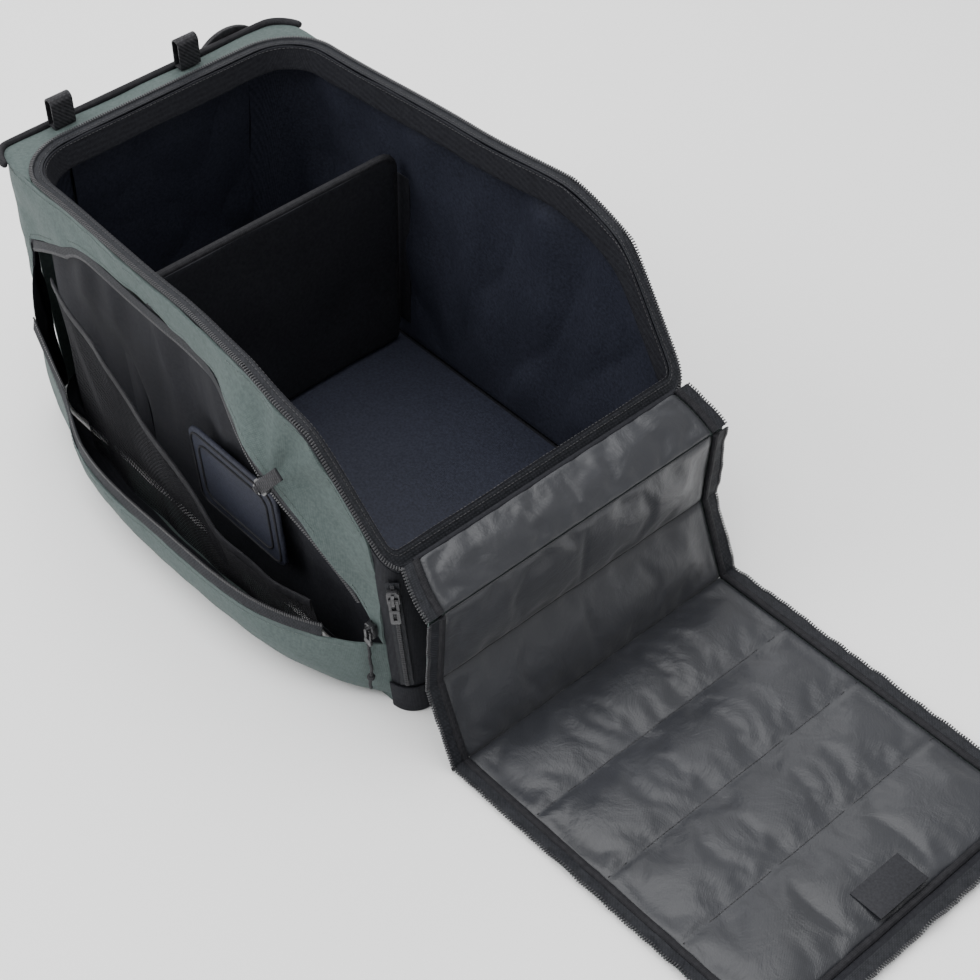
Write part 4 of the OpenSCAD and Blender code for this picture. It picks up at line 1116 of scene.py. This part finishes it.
def kept_low(co, under, k):
    co[:, 2] = np.where(under, UNDER, np.clip(co[:, 2], SEAM_TOP, MAT_TOP))
    if k == LAST:
        label_start = label_low[0] - FOLDS[k][0] / 1000 - BESIDE_LABEL
        label_half = (label_high[1] - label_low[1]) / 2 + BESIDE_LABEL
        from_middle_line = np.abs(co[:, 1] - (label_low[1] + label_high[1]) / 2)
        near = (co[:, 0] > label_start) & (from_middle_line < label_half) & ~under
        co[near, 2] = np.minimum(co[near, 2], label_low[2] - UNDER_LABEL)
    return co


print("mat kept between", UNDER * 1000, "and", MAT_TOP * 1000, "mm above its cloth")

# %% Four lengths of quilted mat
for k, channels in ((0, 1), (1, 1), (2, 1), (3, 4)):
    mat, still, under = slab("quilted_mat_%d" % (k + 1), k, channels)
    rise = blown(mat, 2.6, 0.016, 0.0085)
    set_places(mat, kept_low(places(mat), under, k))
    modify(mat, "SUBSURF", levels=1, render_levels=1)
    laid(mat, k)
    done(mat, satin_flat if k == LAST else satin_hung, body_at(k), ["lid_mat_%d" % (k + 1)],
         smooth=80)
    print(mat.name, len(mat.data.polygons), "faces, rise", round(rise * 1000, 1), "mm")
    for seam in range(1 if k == 0 else 0, channels):
        u = seam * REACH[k] / channels + (0.8 if seam == 0 else 0)
        row = np.array([along(k, u, v, 1.2) for v in np.linspace(-MAT_HALF + 2, MAT_HALF - 2, 200)])
        sewn("mat_seam_%d_%d" % (k + 1, seam), row, mat, body_at(k), thread_black, pitch=0.0036)

# %% [markdown]
# ## Edge of the mat
# Round the mat runs a bound edge, then the free half of the lid's zip. The zip was sewn flat to a
# curve and was pulled when it was opened, so it waves. Every band is a strip between two matching
# outlines, which keeps its width true in the corners.

# %% Bands round the mat
WAVE = 3.2
CORNER_FROM, CORNER_TO = 0.30, 0.38


def outline(t, half, end, r, k):
    if k < LAST:
        return np.array([t * REACH[k], drawn_in(t * REACH[k], k) - half])
    side, s = 1 if t > 0.5 else -1, min(t, 1 - t)
    if s <= CORNER_FROM:
        return np.array([s / CORNER_FROM * (end - r), side * half])
    if s <= CORNER_TO:
        a = math.radians(90 * (s - CORNER_FROM) / (CORNER_TO - CORNER_FROM))
        return np.array([end - r + r * math.sin(a), side * (half - r + r * math.cos(a))])
    return np.array([end, side * (half - r) * (1 - (s - CORNER_TO) / (0.5 - CORNER_TO))])


def wave(k, u, y):
    amount = WAVE * (0.7 * swell((u * 0.8, y * 0.8, 3.0 * k), 34, 1.7) +
                     0.5 * swell((u, y, 0), 15, 4.1))
    at_fold = ease(u / 16) * (1.0 if k == LAST else ease((REACH[k] - u) / 16))
    return (abs(amount) * 1.5 if k == LAST else amount) * at_fold


print("waves up to", WAVE, "mm")


# %% Strips and the bound edge
def by_side(name, k, columns, rows, point, thick=0.0):
    parts = []
    for side in sides_of(k):
        o = grid(name, columns, rows, lambda t, v: point(t, v, side))
        if thick:
            modify(o, "SOLIDIFY", thickness=thick / 1000, offset=0)
        parts.append(o)
    pick(parts[0])
    if len(parts) > 1:
        parts[1].select_set(True)
        bpy.ops.object.join()
    return parts[0]


def strip(name, k, inner, outer, low, thick, waving, finish, stands_for=()):
    def point(t, v, side):
        u, y = mix(outline(t, *inner, k), outline(t, *outer, k), v) * (1, side)
        return u, y, low + waving * (v + 0.2) * wave(k, u, y)

    o = by_side(name, k, 320 if k == LAST else max(10, int(REACH[k] / 3)), 5, point, thick)
    return done(laid(outward(o), k), finish, body_at(k), stands_for, smooth=50)


def bound_edge(name, k):
    def point(t, v, side):
        a = 2 * math.pi * (v - 0.5)
        d = (4.0 + 3.7 * math.cos(a)) * (1 + 0.05 * swell(((t - 0.5) * 40, 0, k), 1, 2))
        u, y = outline(t, 159 + d, MAT_END - 0.6 + d, 40 + d, k) * (1, side)
        return u, y, 2.9 + 2.5 * math.sin(a) + 0.45 * swell((u, y, k), 22, 8.8)

    o = by_side(name, k, 240 if k == LAST else max(8, int(REACH[k] / 4)), 12, point)
    all_in_edit(o)
    bpy.ops.mesh.remove_doubles(threshold=0.00005)
    bpy.ops.mesh.fill_holes(sides=0)
    return done(laid(outward(o), k), binding_weave, body_at(k), ["lid_binding_%d" % (k + 1)],
                smooth=60)


def teeth_line(k, side):
    row = []
    for t in np.linspace(0, 1, 900 if k == LAST else 200):
        u, y = outline(t, *(size + 0.6 for size in TAPE_OUT), k) * (1, side)
        row.append(along(k, u, y, 2.9 + 1.2 * wave(k, u, y)))
    return np.array(row)


TAPE_IN, TAPE_OUT = (165.6, 371.0, 46.6), (176.6, 384.0, 57.6)
BAND_IN = (163.0, 362.0, 44.0)
print("zip tape", round(TAPE_OUT[0] - TAPE_IN[0], 1), "mm wide")

# %% Round every length
for k in range(4):
    bound_edge("mat_binding_%d" % (k + 1), k)
    strip("lid_zip_tape_%d" % (k + 1), k, TAPE_IN, TAPE_OUT, 2.6, 1.1, 1.0, tape_top,
          ["lid_zip_%d" % (k + 1)])
    middle = np.array(along(k, 100, 0, 0))
    spread = (1, 1, 1) if k == LAST else (0, 1, 0)
    for side in sides_of(k):
        teeth("lid_teeth_%d_%s" % (k + 1, "left" if side > 0 else "right"), teeth_line(k, side),
              lambda p: (p - middle) * spread, body_at(k), 0.0027)
strip("lid_end_band", LAST, BAND_IN, TAPE_IN, 1.6, 1.4, 0.25, black_top)
print("bands round the mat made")

# %% [markdown]
# ## Outside of the lid
# Under the mat is the lid's outer cloth, the same green as the sides. Each length is a thin sheet
# that reaches to the fold, so no gap shows there.

# %% Outside of the lid
OUTER_HALF, OUTER_END, OUTER_R = 175.0, 382.4, 56.0
for k in range(4):
    def outer_point(t, v):
        u = t * (OUTER_END if k == LAST else REACH[k])
        y = (v - 0.5) * 2 * OUTER_HALF * (1 - drawn_in(u, k) / OUTER_HALF)
        if k == LAST:
            u, y = round_corner(u, y, OUTER_HALF, OUTER_END, OUTER_R)
        return u, y, -1.1

    o = grid("lid_outer_cloth_%d" % (k + 1), 60 if k == LAST else 14, 44, outer_point)
    modify(o, "SOLIDIFY", thickness=0.0014, offset=0)
    done(laid(outward(o), k), green_top if k == LAST else green_end, body_at(k),
         ["lid_shell_%d" % (k + 1)])
label = hard("label_patch", "blank_label", 0.0003)
done(label, label_cloth, "lid_length_4", ["label_patch"])
print("outer cloth and label made")

# %% [markdown]
# ## Check and finish
# Every piece of the part that nothing stands for is named.

# %% Check and finish
hidden = [n for n, o in nodes.items() if not o.hide_render]
print("part pieces still showing:", hidden)
